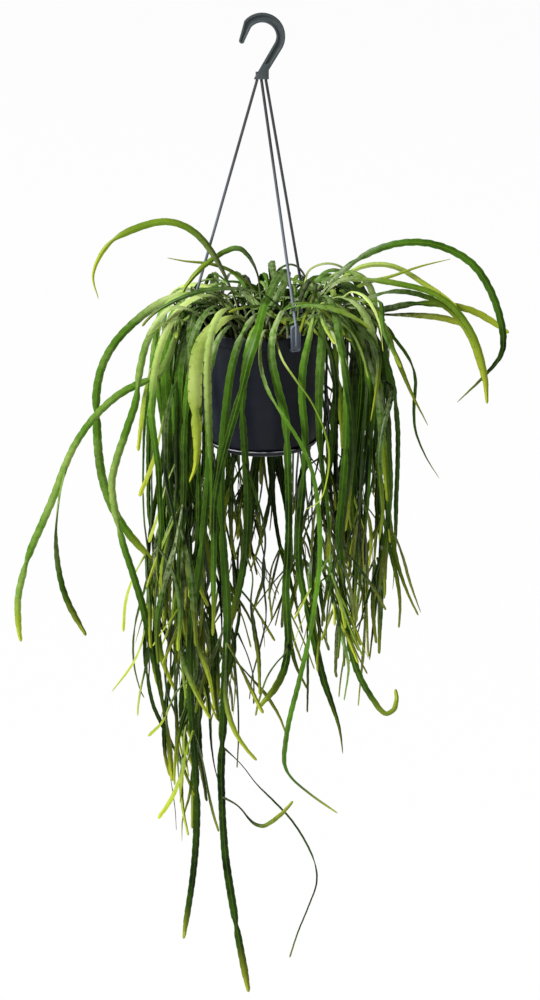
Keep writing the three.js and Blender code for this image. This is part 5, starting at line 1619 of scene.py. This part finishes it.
def leaves_its_room(route):
    """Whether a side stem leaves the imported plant's box, crosses the pot or hangs where few do."""
    x, y, z = route.T
    beyond = x < LEFT_LIMIT + 36 * np.clip((-680 - z) / 110, 0, 1)
    beyond |= x > RIGHT_LIMIT - 60 * np.clip((-630 - z) / 300, 0, 1)
    beyond |= (y < FRONT_LIMIT) | (y > BACK_LIMIT)
    beyond |= z > CROWN_LIMIT - 0.5 * np.maximum(0, y)
    beyond |= (np.abs(x + 6) < 92) & (y < -30) & (np.abs(z + 405) < 75)
    beyond |= (np.abs(x - 18) < 17) & (np.abs(z + 545) < 75)
    beyond |= (x < -112) & (np.abs(z + 440) < 115)
    beside_pot = (z < RIM_TOP) & (z > SAUCER_BOTTOM - 6)
    return beyond[FREE_START:].any() or (np.hypot(x, y)[beside_pot] < RIM_RADIUS - 4).any()


def sprout(kind, sort, parent, parent_node):
    """A side stem of a sort of growth, or nothing where it would leave its room."""
    start = stems[parent]["nodes"][parent_node]
    growth = GROWTH[sort]
    azimuth = azimuth_of(start) + growth_random.normal(0, growth["spread"])
    lift, droop, length, half = [
        growth_random.uniform(*growth[title]) for title in ("lift", "droop", "length", "half")]
    young_share = growth["young"] if off_front(start) else growth.get("young_in_front", growth["young"])
    young = young_share is not None and growth_random.uniform() < young_share
    route = drooping_route(start, azimuth, lift, droop, length, growth["restless"])
    if leaves_its_room(route):
        return False
    ending = "pointed" if growth_random.uniform() < POINTED_SHARE else "blunt"
    add_stem(
        stems[parent]["spray"], route, parent, parent_node, half=half, ending=ending, young=young,
        twist=growth_random.normal(0, 0.5), extra=True, kind=kind)
    return True


def places_where(test):
    """Every packed stem's inner nodes that pass a test by place."""
    return [
        (s, i) for s, stem in enumerate(stems[:packed_count])
        for i in range(2, len(stem["nodes"]) - 1)
        if stem["half"] > 3 and test(*stem["nodes"][i])
    ]


def sprout_many(kind, sort, count, test):
    """Draws places that pass a test, until so many side stems stand."""
    places = places_where(test)
    made = tries = 0
    while made < count and tries < 12 * count:
        tries += 1
        made += sprout(kind, sort, *places[growth_random.integers(len(places))])


sprout_many("crown_shoots", "crown", 64, lambda x, y, z: z > RIM_TOP - 6 and math.hypot(x, y) < 112)
sprout_many("curtain_stems", "curtain", 52, lambda x, y, z: (
    -440 < z < -330 and math.hypot(x, y) > 84 and off_front((x, y))))
sprout_many("curtain_stems", "low_curtain", 42, lambda x, y, z: -700 < z < -500 and x < -20)
sprout_many("wiry_stems", "wiry", 16, lambda x, y, z: -640 < z < -360 and math.hypot(x, y) > 80)
cluster_places = places_where(lambda x, y, z: (-860 if x < -25 else -690) < z < -500)
tip_places = [(s, i) for s, i in cluster_places if i >= len(stems[s]["nodes"]) - 4]
for _ in range(150):
    places = tip_places if growth_random.uniform() < 0.5 else cluster_places
    parent, parent_node = places[growth_random.integers(len(places))]
    for _ in range(growth_random.integers(1, 5)):
        sprout("branchlets", "branchlet", parent, parent_node)
for kind, half, ending, young, route in FURTHER_ROUTES:
    points = np.array(route, float)
    parent, parent_node = min(
        ((s, i) for s, stem in enumerate(stems[:packed_count]) for i in range(2, len(stem["nodes"]) - 1)),
        key=lambda at: np.linalg.norm(stems[at[0]]["nodes"][at[1]] - points[0]))
    points[0] = stems[parent]["nodes"][parent_node]
    add_stem(
        stems[parent]["spray"], smooth_route(points), parent, parent_node, half=half, ending=ending,
        young=young, twist=0.1, extra=True, kind=kind)
spread_apart(packed_count, 90, 25, 60)

for kind in ("crown_shoots", "curtain_stems", "branchlets", "wiry_stems"):
    for young in (False, True):
        members = [stem for stem in stems[packed_count:] if stem["kind"] == kind and stem["young"] == young]
        if members:
            stem_piece(("young_" if young else "") + kind, members, young)

# Floor and light: a plain pale floor far below the hanging pot, a soft bright sky all round and
# one broad soft lamp high over the camera's left shoulder, as in a photographer's light tent.
FLOOR_DROP = 2.2
FLOOR_SIDE = 60
SKY_STRENGTH = 0.10
LAMP_STRENGTH = 6.9
LAMP_BREADTH = 24
LAMP_TILT = 54
LAMP_TURN = -60

start_piece()
bpy.ops.mesh.primitive_plane_add(size=FLOOR_SIDE, location=(0, 0, -FLOOR_DROP))
floor = bpy.context.object
floor.name = "studio_floor"
floor_paint = bpy.data.materials.new("studio_floor_paint")
floor_paint.use_nodes = True
floor_shader = floor_paint.node_tree.nodes["Principled BSDF"]
floor_shader.inputs["Base Color"].default_value = (0.72, 0.72, 0.72, 1)
floor_shader.inputs["Roughness"].default_value = 0.9
floor.data.materials.append(floor_paint)

sky = bpy.data.worlds.new("light_tent")
sky.use_nodes = True
sky.node_tree.nodes["Background"].inputs["Color"].default_value = (1, 1, 1, 1)
sky.node_tree.nodes["Background"].inputs["Strength"].default_value = SKY_STRENGTH
bpy.context.scene.world = sky

lamp_data = bpy.data.lights.new("soft_key_lamp", "SUN")
lamp_data.energy = LAMP_STRENGTH
lamp_data.angle = math.radians(LAMP_BREADTH)
lamp = bpy.data.objects.new("soft_key_lamp", lamp_data)
lamp.rotation_euler = (math.radians(LAMP_TILT), 0, math.radians(LAMP_TURN))
bpy.context.scene.collection.objects.link(lamp)
